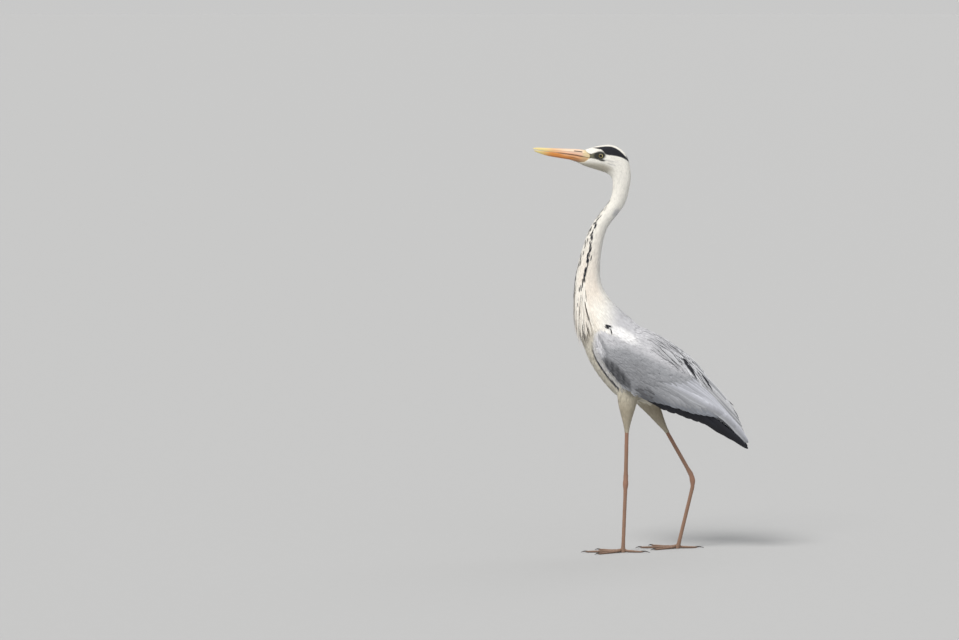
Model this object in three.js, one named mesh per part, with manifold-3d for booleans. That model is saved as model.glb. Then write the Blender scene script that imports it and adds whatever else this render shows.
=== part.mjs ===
// Grey heron (Ardea cinerea), an adult at life size: a still figure that walks with its neck raised,
// its wings folded and its left foot forward. Millimetres, +Z up. The bird faces -Y and its left side is +X.
// Flesh, folded wings, tail and plumes are closed solids that meet with a small clearance.
import * as THREE from "three";
import { mergeVertices } from "three/addons/utils/BufferGeometryUtils.js";
import Module from "manifold-3d";

const wasm = await Module();
wasm.setup();

// ---------------------------------------------------------------- driving dimensions
const GAP = 0.3; // clearance between pieces that touch
const EYE = { y: -91, z: 904, x: 11.6, radius: 7.6 };
const FOOT_X = 37; // from the midline to each foot
const CENTRE_TURN = 2 * Math.PI;

// Rings of the body, from the face to the root of the tail. back and front are the (y, z) places where
// a ring crosses the midline on the crown, nape or back, and on the chin, throat, breast or belly.
// side is the half width.
const BODY = [
  { at: "face", back: [-131, 917], front: [-153, 891], side: 6.2 },
  { at: "brow", back: [-110, 923.5], front: [-127, 878.5], side: 13 },
  { at: "eye", back: [-90, 928], front: [-101, 870.5], side: 18 },
  { at: "crown", back: [-64, 928.5], front: [-80, 863], side: 19 },
  { at: "hind crown", back: [-37, 911.5], front: [-69.5, 855], side: 18.5 },
  { at: "nape", back: [-24.5, 880.5], front: [-66, 845], side: 17.5 },
  { at: "neck top", back: [-22.5, 850], front: [-66.5, 829], side: 17 },
  { at: "upper neck", back: [-27.5, 820], front: [-68, 815], side: 16.2 },
  { at: "upper bend", back: [-37, 791], front: [-75, 799], side: 16 },
  { at: "bend", back: [-53, 769], front: [-88, 782], side: 16.2 },
  { at: "lower bend", back: [-71, 747], front: [-105, 760], side: 17 },
  { at: "middle bend", back: [-81, 724], front: [-119, 737], side: 18 },
  { at: "middle neck", back: [-87, 697], front: [-131, 705], side: 19.3 },
  { at: "lower middle", back: [-91, 665], front: [-142, 669], side: 21 },
  { at: "lower neck", back: [-92, 632], front: [-149.5, 634], side: 23.5 },
  { at: "neck base", back: [-85, 602], front: [-153.5, 596], side: 27.5 },
  { at: "collar", back: [-66, 573], front: [-154, 558], side: 34 },
  { at: "shoulder top", back: [-36, 546], front: [-149, 517], side: 44 },
  { at: "shoulders", back: [0, 514], front: [-134, 473], side: 55 },
  { at: "breast", back: [38, 490], front: [-117, 431], side: 62 },
  { at: "keel", back: [74, 465], front: [-89, 389], side: 63 },
  { at: "belly", back: [106, 436], front: [-50, 350], side: 57 },
  { at: "loin", back: [134, 402], front: [4, 340], side: 45 },
  { at: "vent", back: [157, 366], front: [64, 326], side: 30 },
  { at: "tail root", back: [178, 332], front: [126, 305], side: 14 },
];
// The rings, counted from the face, where BODY is parted into the head, three lengths of neck and the trunk.
const CUTS = { head: 5, upperNeck: 9.5, middleNeck: 13, lowerNeck: 16 };
const CUT = 0.014; // the width of each cut, in rings: it leaves the clearance at the tightest side of a bend

// Rings of the cloak of folded feathers, from the wrist to the wing tip. back is on the ridge of the back
// and hem on the wing's lower edge. The wing covers each ring from the angle top down to the angle bottom,
// in degrees from the ridge of the back. Its black quills show from the angle quills down.
const CLOAK = [
  { at: "wrist", back: [-48, 553], hem: [-110, 494], side: 52, top: 94, quills: 111, bottom: 112 },
  { at: "forearm", back: [-24, 537], hem: [-109, 461], side: 62, top: 67, quills: 115, bottom: 116 },
  { at: "covert 1", back: [8, 514], hem: [-93, 428], side: 70, top: 51, quills: 119, bottom: 120 },
  { at: "covert 2", back: [48, 493.5], hem: [-62, 386], side: 74, top: 42, quills: 121, bottom: 122 },
  { at: "elbow", back: [87, 465], hem: [-24, 356], side: 74, top: 35, quills: 121, bottom: 123 },
  { at: "secondary", back: [124, 433], hem: [24, 336], side: 67, top: 30, quills: 118, bottom: 124 },
  { at: "tertial 1", back: [154, 394], hem: [80, 316], side: 56, top: 27, quills: 115, bottom: 128 },
  { at: "tertial 2", back: [183, 357], hem: [132, 297], side: 43, top: 24, quills: 103, bottom: 134 },
  { at: "tertial 3", back: [212, 326], hem: [182, 268], side: 31, top: 24, quills: 101, bottom: 140 },
  { at: "tip", back: [243, 272], hem: [238, 237], side: 19, top: 62, quills: 104, bottom: 134 },
];

// ---------------------------------------------------------------- materials
const finish = (color, roughness) => new THREE.MeshStandardMaterial({ color, roughness, metalness: 0 });
const WHITE_PLUMAGE = finish(0xe9e4da, 0.85);
const GREY_PLUMAGE = finish(0x9a9fa8, 0.8);
const DARK_PLUMAGE = finish(0x1b1d22, 0.7);
const BILL_HORN = finish(0xd98a4e, 0.45);
const EYE_GLASS = finish(0xd8b63a, 0.1);
const LEG_SKIN = finish(0x8a6f58, 0.6);
const CLAW_HORN = finish(0x3a322b, 0.5);

// ---------------------------------------------------------------- geometry helpers
const point = ([y, z], x = 0) => new THREE.Vector3(x, y, z);
const spline = (points) => new THREE.CatmullRomCurve3(points, false, "centripetal");
const ACROSS = new THREE.Vector3(1, 0, 0);
const FORWARD = new THREE.Vector3(0, -1, 0);
const UP = new THREE.Vector3(0, 0, 1);
const radians = THREE.MathUtils.degToRad;
const { lerp } = THREE.MathUtils;
const RING_SPACING = 40; // keeps a spline through one number for each ring evenly paced

// A closed mesh as a solid. A mesh that was made inside out is turned round.
function solid(geometry) {
  const bare = geometry.clone();
  bare.deleteAttribute("normal");
  bare.deleteAttribute("uv");
  const merged = mergeVertices(bare, 1e-3);
  const vertProperties = merged.attributes.position.array;
  const make = (triVerts) => new wasm.Manifold(new wasm.Mesh({ numProp: 3, vertProperties, triVerts }));
  const triVerts = Uint32Array.from(merged.index.array);
  const made = make(triVerts);
  return made.volume() > 0 ? made : make(triVerts.reverse());
}

// A named mesh from a solid.
function node(name, manifold, material) {
  const { vertProperties, triVerts } = manifold.getMesh();
  const geometry = new THREE.BufferGeometry();
  geometry.setAttribute("position", new THREE.BufferAttribute(vertProperties, 3));
  geometry.setIndex(new THREE.BufferAttribute(triVerts, 1));
  const mesh = new THREE.Mesh(geometry, material);
  mesh.name = name;
  return mesh;
}

// Evenly spaced stations from 0 to 1.
const even = (count) => Array.from({ length: count }, (_, i) => i / (count - 1));

// A closed body whose surface is surface(t, angle), with a ring at each station t and a flat cap at each end.
function swept(surface, centre, stations, around) {
  const rows = stations.length + 1;
  const geometry = new THREE.SphereGeometry(1, around, rows);
  const { position, uv } = geometry.attributes;
  for (let i = 0; i < position.count; i++) {
    const row = Math.round((1 - uv.getY(i)) * rows);
    const isPole = row === 0 || row === rows;
    const t = stations[THREE.MathUtils.clamp(row - 1, 0, stations.length - 1)];
    const column = Math.round(uv.getX(i) * around) % around;
    const at = isPole ? centre(t) : surface(t, (column / around) * CENTRE_TURN);
    position.setXYZ(i, at.x, at.y, at.z);
  }
  return solid(geometry);
}

// Splines through a list of rings. at(t) gives a ring, with t from 0 to 1, and point() a place on it.
class RingPath {
  constructor(rings) {
    this.last = rings.length - 1;
    this.back = spline(rings.map((ring) => point(ring.back)));
    this.front = spline(rings.map((ring) => point(ring.front)));
    this.side = spline(rings.map((ring, i) => new THREE.Vector3(ring.side, i * RING_SPACING, 0)));
  }
  at(t) {
    const back = this.back.getPoint(t);
    const front = this.front.getPoint(t);
    const axis = back.clone().sub(front).multiplyScalar(0.5);
    const centre = back.add(front).multiplyScalar(0.5);
    const depth = axis.length();
    return { centre, depth, up: axis.normalize(), side: this.side.getPoint(t).x };
  }
  point(t, angle, grow = 0) {
    const { centre, depth, up, side } = this.at(t);
    const at = centre.addScaledVector(up, (depth + grow) * Math.cos(angle));
    at.x = (side + grow) * Math.sin(angle);
    return at;
  }
}

// A closed strand along a curve, elliptical, as wide as width(t) along across and as thick as height(t).
// What would lie below the floor is pressed flat on it.
function strand({ path, across, width, height, rings = 14, around = 10, floor = -Infinity }) {
  const sideways = across.clone().normalize();
  const clear = (at) => at.setZ(Math.max(at.z, floor));
  const surface = (t, angle) => {
    const up = new THREE.Vector3().crossVectors(sideways, path.getTangent(t)).normalize();
    const at = path.getPoint(t).addScaledVector(sideways, (width(t) / 2) * Math.sin(angle));
    return clear(at.addScaledVector(up, (height(t) / 2) * Math.cos(angle)));
  };
  return swept(surface, (t) => clear(path.getPoint(t)), even(rings), around);
}

const body = new RingPath(BODY);
// The hem lies at the angle bottom, so the ring's own front is a little beyond it.
const cloak = new RingPath(
  CLOAK.map(({ back, hem, side, bottom }) => {
    const reach = 2 / (1 - Math.cos(radians(bottom)));
    return { back, side, front: back.map((value, i) => lerp(value, hem[i], reach)) };
  }),
);
const BODY_STATIONS = even(54);
const BODY_SIDES = 16;

// The length of the body between two rings of BODY, counted from the face.
// Every length keeps the same stations.
function bodyLength(first, last, grow = 0) {
  const from = first / body.last;
  const to = last / body.last;
  const stations = [from, ...BODY_STATIONS.filter((t) => t > from && t < to), to];
  return swept((t, angle) => body.point(t, angle, grow), (t) => body.at(t).centre, stations, BODY_SIDES);
}
const fleshAndGap = bodyLength(0, body.last, GAP);

// ---------------------------------------------------------------- bill and eyes
// Rings of each mandible from the base to the tip, as (y, z) of its upper and lower edge.
const UPPER_MANDIBLE = [
  { back: [-110, 912], front: [-114, 898], side: 9.6 },
  { back: [-131, 917.4], front: [-135, 902.2], side: 9.8 },
  { back: [-152, 918.8], front: [-155, 905.8], side: 8.2 },
  { back: [-183, 919.8], front: [-185, 910], side: 6 },
  { back: [-214, 921], front: [-215, 913.4], side: 3.9 },
  { back: [-236, 921.8], front: [-237, 917], side: 2.1 },
  { back: [-246, 920.8], front: [-246, 919], side: 0.8 },
];
const LOWER_MANDIBLE = [
  { back: [-114, 896.9], front: [-121, 882], side: 9.1 },
  { back: [-135, 901.5], front: [-140, 887.5], side: 9.3 },
  { back: [-155, 905.1], front: [-159, 893.6], side: 7.8 },
  { back: [-185, 909.3], front: [-187, 898.4], side: 5.6 },
  { back: [-215, 912.7], front: [-216, 903.8], side: 3.6 },
  { back: [-235, 915.2], front: [-236, 910.4], side: 1.8 },
  { back: [-244, 915.6], front: [-244, 914.2], side: 0.7 },
];

// A mandible is domed on its outer side and flat where it meets the other one.
function mandible(rings, domeSign, grow) {
  const path = new RingPath(rings);
  const surface = (t, angle) => {
    const { centre, depth, up, side } = path.at(t);
    const dome = Math.max(domeSign * Math.cos(angle), 0);
    const roof = Math.pow(dome, 0.85) * 2 - 1;
    const at = centre.addScaledVector(up, domeSign * (depth + grow) * roof);
    at.x = (side + grow) * Math.sin(angle);
    return at;
  };
  return swept(surface, (t) => path.at(t).centre, even(15), 12);
}

function eyeball(sideSign, grow = 0) {
  const ball = new THREE.SphereGeometry(EYE.radius + grow, 12, 8);
  ball.rotateZ(radians(90));
  ball.translate(sideSign * EYE.x, EYE.y, EYE.z);
  return solid(ball);
}

// ---------------------------------------------------------------- plumes
// Two thin black plumes hang from the hind crown and lie along the back of the neck, a little to the right.
function crestPlume(turn) {
  const from = 4.3 / body.last;
  const to = 11.6 / body.last;
  const standOff = (t) => 1.2 + 2.2 * t ** 3;
  const places = 9;
  const path = spline(
    Array.from({ length: places }, (_, i) => {
      const t = i / (places - 1);
      return body.point(lerp(from, to, t), radians(turn), standOff(t));
    }),
  );
  const width = (t) => lerp(3, 1, t * t);
  const height = (t) => lerp(1.1, 0.6, t);
  return strand({ path, across: ACROSS, width, height, rings: 16, around: 4 }).subtract(fleshAndGap);
}

// Long white lanceolate plumes that hang from the foot of the neck in front of the breast.
function breastPlumes() {
  const count = 7;
  const fromRing = 14.6 / body.last;
  const plumes = Array.from({ length: count }, (_, i) => {
    const spread = (i - (count - 1) / 2) / ((count - 1) / 2); // -1 to 1 across the breast
    const root = body.point(fromRing, Math.PI - spread * radians(52), -4);
    const length = 132 - 24 * spread * spread + 9 * Math.cos(i * 2.4);
    const tipY = -142 + 16 * spread * spread + 4 * Math.sin(i * 2);
    const tip = new THREE.Vector3(spread * 27, tipY, root.z - length);
    const middle = root.clone().lerp(tip, 0.45);
    middle.y -= 7;
    const width = (t) => lerp(21, 1.2, t * t);
    const height = (t) => lerp(15, 0.9, t);
    const path = spline([root, middle, tip]);
    return strand({ path, across: ACROSS, width, height, rings: 7, around: 5 });
  });
  return plumes.reduce((all, plume) => all.add(plume)).subtract(fleshAndGap);
}

// ---------------------------------------------------------------- legs
// Each leg in its own plane: the feathered thigh as (y, z, half depth), then the ankle and the foot.
const LEGS = {
  left: {
    x: 34,
    thigh: [
      [-27, 385, 30], [-31, 350, 25], [-32, 324, 18.5], [-32.5, 300, 12], [-32.5, 283, 8.4], [-33, 268, 6.4],
    ],
    ankle: [-35, 156],
    foot: [-41, 9],
  },
  right: {
    x: -34,
    thigh: [
      [-4, 374, 32], [15, 345, 27], [31, 319, 19], [45, 295, 13], [56, 278, 8.6], [66, 262, 6.4],
    ],
    ankle: [124, 158],
    foot: [86, 9],
  },
};
const TOES = [
  { at: "inner", turn: -34, length: 64, claw: 12 },
  { at: "middle", turn: 3, length: 84, claw: 12 },
  { at: "outer", turn: 37, length: 71, claw: 11 },
  { at: "hind", turn: 172, length: 45, claw: 17 },
];
const TOE_WIDTH = { base: 7.4, end: 4.8 };
const TOE_RISE = 6; // height of the middle of a toe where it leaves the foot pad
const PAD_REACH = 3; // from the middle of the pad to the hidden root of each toe
const TOE_WEDGE = Math.tan(radians(16)); // keeps the roots of neighbouring toes apart

// The feathered thigh, which runs up inside the belly.
function thighBody(side, grow) {
  const { x, thigh } = LEGS[side];
  const halfDepth = spline(thigh.map(([, , half], i) => new THREE.Vector3(half, i * 30, 0)));
  const depth = (t) => 2 * halfDepth.getPoint(t).x;
  return strand({
    path: spline(thigh.map(([y, z]) => point([y, z], x))), across: ACROSS, rings: 8, around: 10,
    width: (t) => depth(t) * lerp(0.72, 0.94, t) + 2 * grow,
    height: (t) => depth(t) + 2 * grow,
  });
}

function leg(side) {
  const { x, thigh, ankle, foot } = LEGS[side];
  const outward = Math.sign(x);
  const anklePlace = point(ankle, x);
  const shankTop = point(thigh.at(-1), x).lerp(point(thigh.at(-2), x), 0.9);
  const knob = (t, place, reach) => Math.exp(-(((t - place) / reach) ** 2));
  const shankBody = (grow) =>
    strand({
      path: new THREE.LineCurve3(shankTop, anklePlace.clone().lerp(shankTop, -0.06)), across: ACROSS,
      rings: 8, around: 8,
      width: (t) => 8 + 4.6 * knob(t, 0.95, 0.12) + 2 * grow,
      height: (t) => 9 + 6 * knob(t, 0.95, 0.12) + 2 * grow,
    });
  const footPlace = point(foot, outward * FOOT_X);
  const hub = footPlace.clone().setZ(-2);
  const tarsusBody = (grow) =>
    strand({
      path: new THREE.LineCurve3(anklePlace, hub), across: ACROSS, rings: 12, around: 8, floor: 0,
      width: (t) => 7.2 + 2.6 * knob(t, 0, 0.09) + 5.6 * knob(t, 1, 0.07) + 2 * grow,
      height: (t) => 8.4 + 2.8 * knob(t, 0, 0.09) + 3.4 * knob(t, 1, 0.07) + 2 * grow,
    });

  const thighSolid = thighBody(side, 0).subtract(fleshAndGap);
  const shank = shankBody(0).subtract(thighBody(side, GAP));
  const tarsus = tarsusBody(0).subtract(shankBody(GAP));
  const parts = [
    node(`thigh_${side}`, thighSolid, WHITE_PLUMAGE),
    node(`shank_${side}`, shank, LEG_SKIN),
    node(`tarsus_${side}`, tarsus, LEG_SKIN),
  ];

  // Toes fan out from the foot pad and lie on the floor, each on its own narrow flat.
  const tarsusAndGap = tarsusBody(GAP);
  for (const { at, turn, length, claw } of TOES) {
    const heading = FORWARD.clone().applyAxisAngle(UP, radians(outward * turn));
    const sideways = UP.clone().cross(heading);
    const along = (reach, z) => hub.clone().addScaledVector(heading, reach).setZ(z);
    const toePath = spline([
      along(PAD_REACH, TOE_RISE), along(length * 0.2, 3.8), along(length * 0.45, 2.6), along(length, 1.9),
    ]);
    const joints = at === "hind" ? 1.5 : 3.5;
    const swell = (t) => 1 + 0.11 * Math.cos(CENTRE_TURN * joints * t);
    const plain = (t) => lerp(TOE_WIDTH.base, TOE_WIDTH.end, t) * swell(t);
    const wedge = (t) => 2 * TOE_WEDGE * toePath.getPoint(t).setZ(hub.z).distanceTo(hub);
    const toeBody = (grow) =>
      strand({
        path: toePath, across: sideways, rings: 10, around: 7, floor: 0,
        width: (t) => Math.min(plain(t), wedge(t)) + 2 * grow,
        height: (t) => plain(t) * 0.94 + 2 * grow,
      });
    const clawPath = spline([
      along(length - 3, 2.6), along(length + claw * 0.4, 3.4), along(length + claw, 0.9),
    ]);
    const clawBody = strand({
      path: clawPath, across: sideways, rings: 5, around: 5, floor: 0.2,
      width: (t) => lerp(3, 0.7, t), height: (t) => lerp(3.9, 0.8, t),
    });
    parts.push(node(`toe_${side}_${at}`, toeBody(0).subtract(tarsusAndGap), LEG_SKIN));
    parts.push(node(`claw_${side}_${at}`, clawBody.subtract(toeBody(GAP)), CLAW_HORN));
  }
  return parts;
}

// ---------------------------------------------------------------- folded wings, scapulars and tail
// Edge angles between the rings of the cloak, in radians.
const edges = ["top", "quills", "bottom"].reduce((found, edge) => {
  const through = spline(CLOAK.map((ring, i) => new THREE.Vector3(ring[edge], i * RING_SPACING, 0)));
  return { ...found, [edge]: (t) => radians(through.getPoint(t).x) };
}, {});

// A closed sheet on the cloak, from ring number first to last and between two edge angles.
// It is thin at its rim.
function sheet({ side, first, last, from, to, rim, middle, inset = 0, columns, rows }) {
  const geometry = new THREE.BoxGeometry(1, 1, 1, columns, rows, 1);
  const { position } = geometry.attributes;
  for (let i = 0; i < position.count; i++) {
    const along = position.getX(i) + 0.5;
    const across = position.getY(i) + 0.5;
    const t = lerp(first, last, along) / cloak.last;
    const bulge = Math.sqrt(Math.sin(Math.PI * along) * Math.sin(Math.PI * across));
    const thickness = lerp(rim, middle(along), Number.isNaN(bulge) ? 0 : bulge);
    const isOuter = position.getZ(i) > 0;
    const outward = isOuter ? (thickness - middle(along)) * 0.35 : -thickness;
    const at = cloak.point(t, side * lerp(from(t), to(t), across), outward - inset);
    position.setXYZ(i, at.x, at.y, at.z);
  }
  return solid(geometry);
}

const seam = (t) => (GAP + 0.2) / cloak.at(t).depth; // an angle that leaves the clearance between two sheets

const wingSheet = (side) =>
  sheet({
    side, first: 0, last: 9, from: (t) => edges.top(t) + seam(t), to: (t) => edges.quills(t) - seam(t),
    rim: 1.6, middle: (along) => lerp(13, 4, Math.min(1, along * 1.25)), columns: 20, rows: 5,
  });
const quillSheet = (side) =>
  sheet({
    side, first: 3.7, last: 9, from: edges.quills, to: (t) => edges.bottom(t),
    rim: 1.2, middle: (along) => lerp(3.2, 2.2, along), inset: 0.3, columns: 14, rows: 2,
  });
const scapularSheet = (side) =>
  sheet({
    side, first: 2, last: 7.7, from: seam, to: (t) => edges.top(t) - seam(t),
    rim: 1.5, middle: (along) => lerp(6.6, 2.9, along), columns: 13, rows: 3,
  });

// The closed tail: a long narrow sheet of stacked feathers between the wing tips.
function tail(grow = 0) {
  const path = spline([point([150, 328]), point([188, 304]), point([224, 276]), point([246.5, 250])]);
  const width = (t) => lerp(22, 28, t) + 2 * grow;
  const height = (t) => lerp(12, 4, Math.min(1, t * 1.4)) + 2 * grow;
  return strand({ path, across: ACROSS, width, height, rings: 10, around: 12 });
}

// ---------------------------------------------------------------- assembly
const heron = new THREE.Group();
const add = (name, manifold, material) => heron.add(node(name, manifold, material));

const billAndGap = mandible(UPPER_MANDIBLE, 1, GAP).add(mandible(LOWER_MANDIBLE, -1, GAP));
const eyesAndGap = eyeball(1, GAP).add(eyeball(-1, GAP));
add("head", bodyLength(0, CUTS.head).subtract(billAndGap).subtract(eyesAndGap), WHITE_PLUMAGE);
add("bill_upper", mandible(UPPER_MANDIBLE, 1, 0), BILL_HORN);
add("bill_lower", mandible(LOWER_MANDIBLE, -1, 0), BILL_HORN);
add("eye_left", eyeball(1), EYE_GLASS);
add("eye_right", eyeball(-1), EYE_GLASS);

add("neck_upper", bodyLength(CUTS.head + CUT, CUTS.upperNeck), WHITE_PLUMAGE);
add("neck_middle", bodyLength(CUTS.upperNeck + CUT, CUTS.middleNeck), WHITE_PLUMAGE);
add("neck_lower", bodyLength(CUTS.middleNeck + CUT, CUTS.lowerNeck), WHITE_PLUMAGE);
add("trunk", bodyLength(CUTS.lowerNeck + CUT, body.last), WHITE_PLUMAGE);
add("breast_plumes", breastPlumes(), WHITE_PLUMAGE);
add("crest_plume_left", crestPlume(2), DARK_PLUMAGE);
add("crest_plume_right", crestPlume(-14), DARK_PLUMAGE);

const underWing = fleshAndGap.add(tail(GAP)).add(thighBody("left", GAP)).add(thighBody("right", GAP));
for (const [name, side] of [["left", 1], ["right", -1]]) {
  add(`wing_${name}`, wingSheet(side).subtract(underWing), GREY_PLUMAGE);
  add(`flight_quills_${name}`, quillSheet(side).subtract(underWing), DARK_PLUMAGE);
  add(`scapulars_${name}`, scapularSheet(side).subtract(underWing), GREY_PLUMAGE);
}
add("tail", tail().subtract(fleshAndGap), GREY_PLUMAGE);

for (const side of Object.keys(LEGS)) heron.add(...leg(side));

// The origin is the middle of the bird's box, at the floor.
const box = new THREE.Box3().setFromObject(heron);
const middle = box.getCenter(new THREE.Vector3());
heron.position.set(-middle.x, -middle.y, 0);

export default heron;
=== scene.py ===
"""Grey heron at life size: skin, feathers, bill, eyes, legs and a plain studio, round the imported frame."""
import math
import bpy
import numpy as np
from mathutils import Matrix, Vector
from mathutils.bvhtree import BVHTree


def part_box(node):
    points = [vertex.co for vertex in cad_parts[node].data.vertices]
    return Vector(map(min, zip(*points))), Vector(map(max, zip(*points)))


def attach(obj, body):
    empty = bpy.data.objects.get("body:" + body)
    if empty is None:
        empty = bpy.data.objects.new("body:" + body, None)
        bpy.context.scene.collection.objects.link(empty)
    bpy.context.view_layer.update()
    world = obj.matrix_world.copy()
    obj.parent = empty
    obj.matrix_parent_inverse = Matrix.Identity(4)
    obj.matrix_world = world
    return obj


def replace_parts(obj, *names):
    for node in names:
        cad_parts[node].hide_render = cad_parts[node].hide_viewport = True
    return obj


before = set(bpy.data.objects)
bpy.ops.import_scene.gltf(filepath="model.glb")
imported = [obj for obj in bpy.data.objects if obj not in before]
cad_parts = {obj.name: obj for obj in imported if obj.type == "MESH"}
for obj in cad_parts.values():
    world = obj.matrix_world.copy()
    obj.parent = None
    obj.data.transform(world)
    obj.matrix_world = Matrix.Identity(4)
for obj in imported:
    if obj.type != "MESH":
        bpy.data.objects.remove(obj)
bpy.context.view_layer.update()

# ---------------------------------------------------------------- working space
# Shapes are worked out in the construction's own millimetres: the bird faces -Y and its left side is +X.
MM = 0.001
EYE_PLACE = np.array((11.6, -91.0, 904.0))  # the left eye
EYE_RADIUS = 7.6
eye_low, eye_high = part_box("eye_left")
OFFSET = EYE_PLACE - np.array((eye_low + eye_high) / 2) / MM
RNG = np.random.default_rng(11)


def to_work(metres):
    return np.asarray(metres, float) / MM + OFFSET


def to_frame(places):
    return (np.asarray(places, float) - OFFSET) * MM


def unit(vectors):
    return vectors / np.maximum(np.linalg.norm(vectors, axis=-1, keepdims=True), 1e-9)


def dot(a, b):
    return np.sum(a * b, axis=-1)


def flatten(vectors, normals):
    """The vectors without their part along the normals, at unit length."""
    return unit(vectors - normals * dot(vectors, normals)[..., None])


def ramp(value, start, end):
    """0 before start, 1 after end, and smooth between. start may be the larger."""
    t = np.clip((value - start) / (end - start), 0, 1)
    return t * t * (3 - 2 * t)


def mix(a, b, share):
    share = np.asarray(share)[..., None]
    return a * (1 - share) + b * share


def mix1(a, b, share):
    """mix for single numbers instead of colours or places."""
    return a * (1 - share) + b * share


def painted(colour, *coats):
    """The colour with coats of (tone, share) laid over it in turn."""
    for tone, share in coats:
        colour = mix(colour, tone, share)
    return colour


def named(labels, start):
    """True for the labels that begin with start."""
    return np.char.startswith(labels, start)


# ---------------------------------------------------------------- lie of the body
# Places (y, z) down the middle of the bird, from the bill tip through head, neck and trunk to the tail tip.
SPINE = np.array([
    (-246, 919), (-142, 905), (-96, 901), (-72, 898), (-53, 884), (-45, 862), (-44.5, 840), (-48, 817),
    (-56, 795), (-70, 775), (-88, 753), (-100, 730), (-109, 701), (-121, 633), (-119, 599), (-110, 566),
    (-92, 532), (-67, 494), (-40, 460), (-8, 427), (28, 398), (69, 371), (152, 318), (246, 250),
], float)
SPINE_STEPS = 420
LOT = 20000  # how many places are measured at once, to save memory


def smooth_line(points, count):
    """A Catmull-Rom line through the points, at evenly spaced places."""
    ends = np.vstack([2 * points[0] - points[1], points, 2 * points[-1] - points[-2]])
    t = np.linspace(0, 1, 24, endpoint=False)[:, None]
    parts = []
    for a, b, c, d in zip(ends, ends[1:], ends[2:], ends[3:]):
        parts.append(0.5 * (2 * b + (c - a) * t + (2 * a - 5 * b + 4 * c - d) * t**2
                            + (3 * b - a - 3 * c + d) * t**3))
    fine = np.vstack([*parts, points[-1:]])
    reach = np.concatenate([[0], np.cumsum(np.linalg.norm(np.diff(fine, axis=0), axis=1))])
    even = np.linspace(0, reach[-1], count)
    return np.column_stack([np.interp(even, reach, fine[:, k]) for k in range(fine.shape[1])]), even


SPINE_LINE, SPINE_REACH = smooth_line(SPINE, SPINE_STEPS)
SPINE_AHEAD = unit(np.gradient(SPINE_LINE, axis=0))


def nearest_on(line, places):
    """For each place, the number of the nearest place of a line (y, z)."""
    return np.concatenate([((places[k:k + LOT, None, 1:] - line) ** 2).sum(-1).argmin(1)
                           for k in range(0, len(places), LOT)])


def on_spine(places):
    """For each place: how far down the spine, the heading there, and the angle from the ridge of the back."""
    index = nearest_on(SPINE_LINE, places)
    ahead = SPINE_AHEAD[index]
    dorsal = np.column_stack([-ahead[:, 1], ahead[:, 0]])
    offset = places[:, 1:] - SPINE_LINE[index]
    angle = np.arctan2(np.abs(places[:, 0]), dot(offset, dorsal))
    heading = np.column_stack([np.zeros(len(places)), ahead])
    return SPINE_REACH[index], heading, np.degrees(angle)


def spine_reach_at(y, z):
    """How far down the spine the place (y, z) is."""
    return SPINE_REACH[np.linalg.norm(SPINE_LINE - (y, z), axis=1).argmin()]


FACE = spine_reach_at(-142, 905)
EYES = spine_reach_at(-92, 900)
CROWN = spine_reach_at(-72, 898)
NAPE = spine_reach_at(-45, 862)
NECK_BEND = spine_reach_at(-80, 764)
NECK_MIDDLE = spine_reach_at(-112, 690)
NECK_BASE = spine_reach_at(-119, 599)
COLLAR = spine_reach_at(-110, 566)
SHOULDER = spine_reach_at(-67, 494)
BREAST = spine_reach_at(-8, 427)
RUMP = spine_reach_at(130, 332)

# The lower edge of the folded wing in side view, as places (y, z), and how far out from the middle it is.
HEM = np.array([
    (-100, 508), (-110, 494), (-109, 461), (-93, 428), (-62, 386), (-24, 356),
    (24, 336), (80, 316), (132, 297), (182, 268), (238, 237),
], float)
HEM_X = np.array((44, 48, 56, 60, 62, 61, 55, 44, 31, 21, 13), float)
HEM_LINE, HEM_REACH = smooth_line(HEM, 160)
HEM_AHEAD = unit(np.gradient(HEM_LINE, axis=0))


def near_hem(places):
    """For each place in side view: its gap to the wing's lower edge, how far inside that edge it is (negative
    below it), and the number of the nearest place of HEM_LINE."""
    index = nearest_on(HEM_LINE, places)
    offset = places[:, 1:] - HEM_LINE[index]
    inward = np.column_stack([-HEM_AHEAD[index, 1], HEM_AHEAD[index, 0]])
    return np.linalg.norm(offset, axis=1), dot(offset, inward), index


# The upper edge of the wing's front corner in side view, where the white of the shoulder begins: partly the
# breast's own white and partly a painted highlight.
CORNER_Y = (-110, -103, -96, -87, -56, -24, -12)
CORNER_HIGH = (498, 507, 510, 507, 494, 482, 476)


def on_corner(places):
    """1 on the front corner of the folded wing, which reaches up over the feathers of the breast."""
    _, inner, _ = near_hem(places)
    below = np.interp(places[:, 1], CORNER_Y, CORNER_HIGH) - places[:, 2]
    share = ramp(inner, 0, 3) * ramp(below, -1.5, 1.5) * ramp(np.abs(places[:, 0]), 24, 30)
    return share * ramp(places[:, 1], 0, -12) * ramp(places[:, 2], 452, 470)


# ---------------------------------------------------------------- markings
WHITE = np.array((0.89, 0.87, 0.81))
CREAM = np.array((0.86, 0.78, 0.69))
# White in painted shade: the belly, the lower face and throat, the chin feathers and the top of the thighs.
PAINTED_SHADE_WHITE = np.array((0.58, 0.54, 0.44))
BUFF = np.array((0.37, 0.325, 0.245))
LILAC = np.array((0.55, 0.552, 0.58))
# Brown painted shade between the plumes of the breast.
PAINTED_SHADE_BROWN = np.array((0.30, 0.25, 0.20))
GREY = np.array((0.315, 0.323, 0.345))
SLATE = np.array((0.070, 0.073, 0.080))
BLACK = np.array((0.011, 0.012, 0.018))
LORE = np.array((0.035, 0.036, 0.030))
STREAK_BROWN = np.array((0.045, 0.036, 0.030))
OLIVE = np.array((0.15, 0.145, 0.10))
BARE_CREAM = np.array((0.60, 0.49, 0.27))

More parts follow.
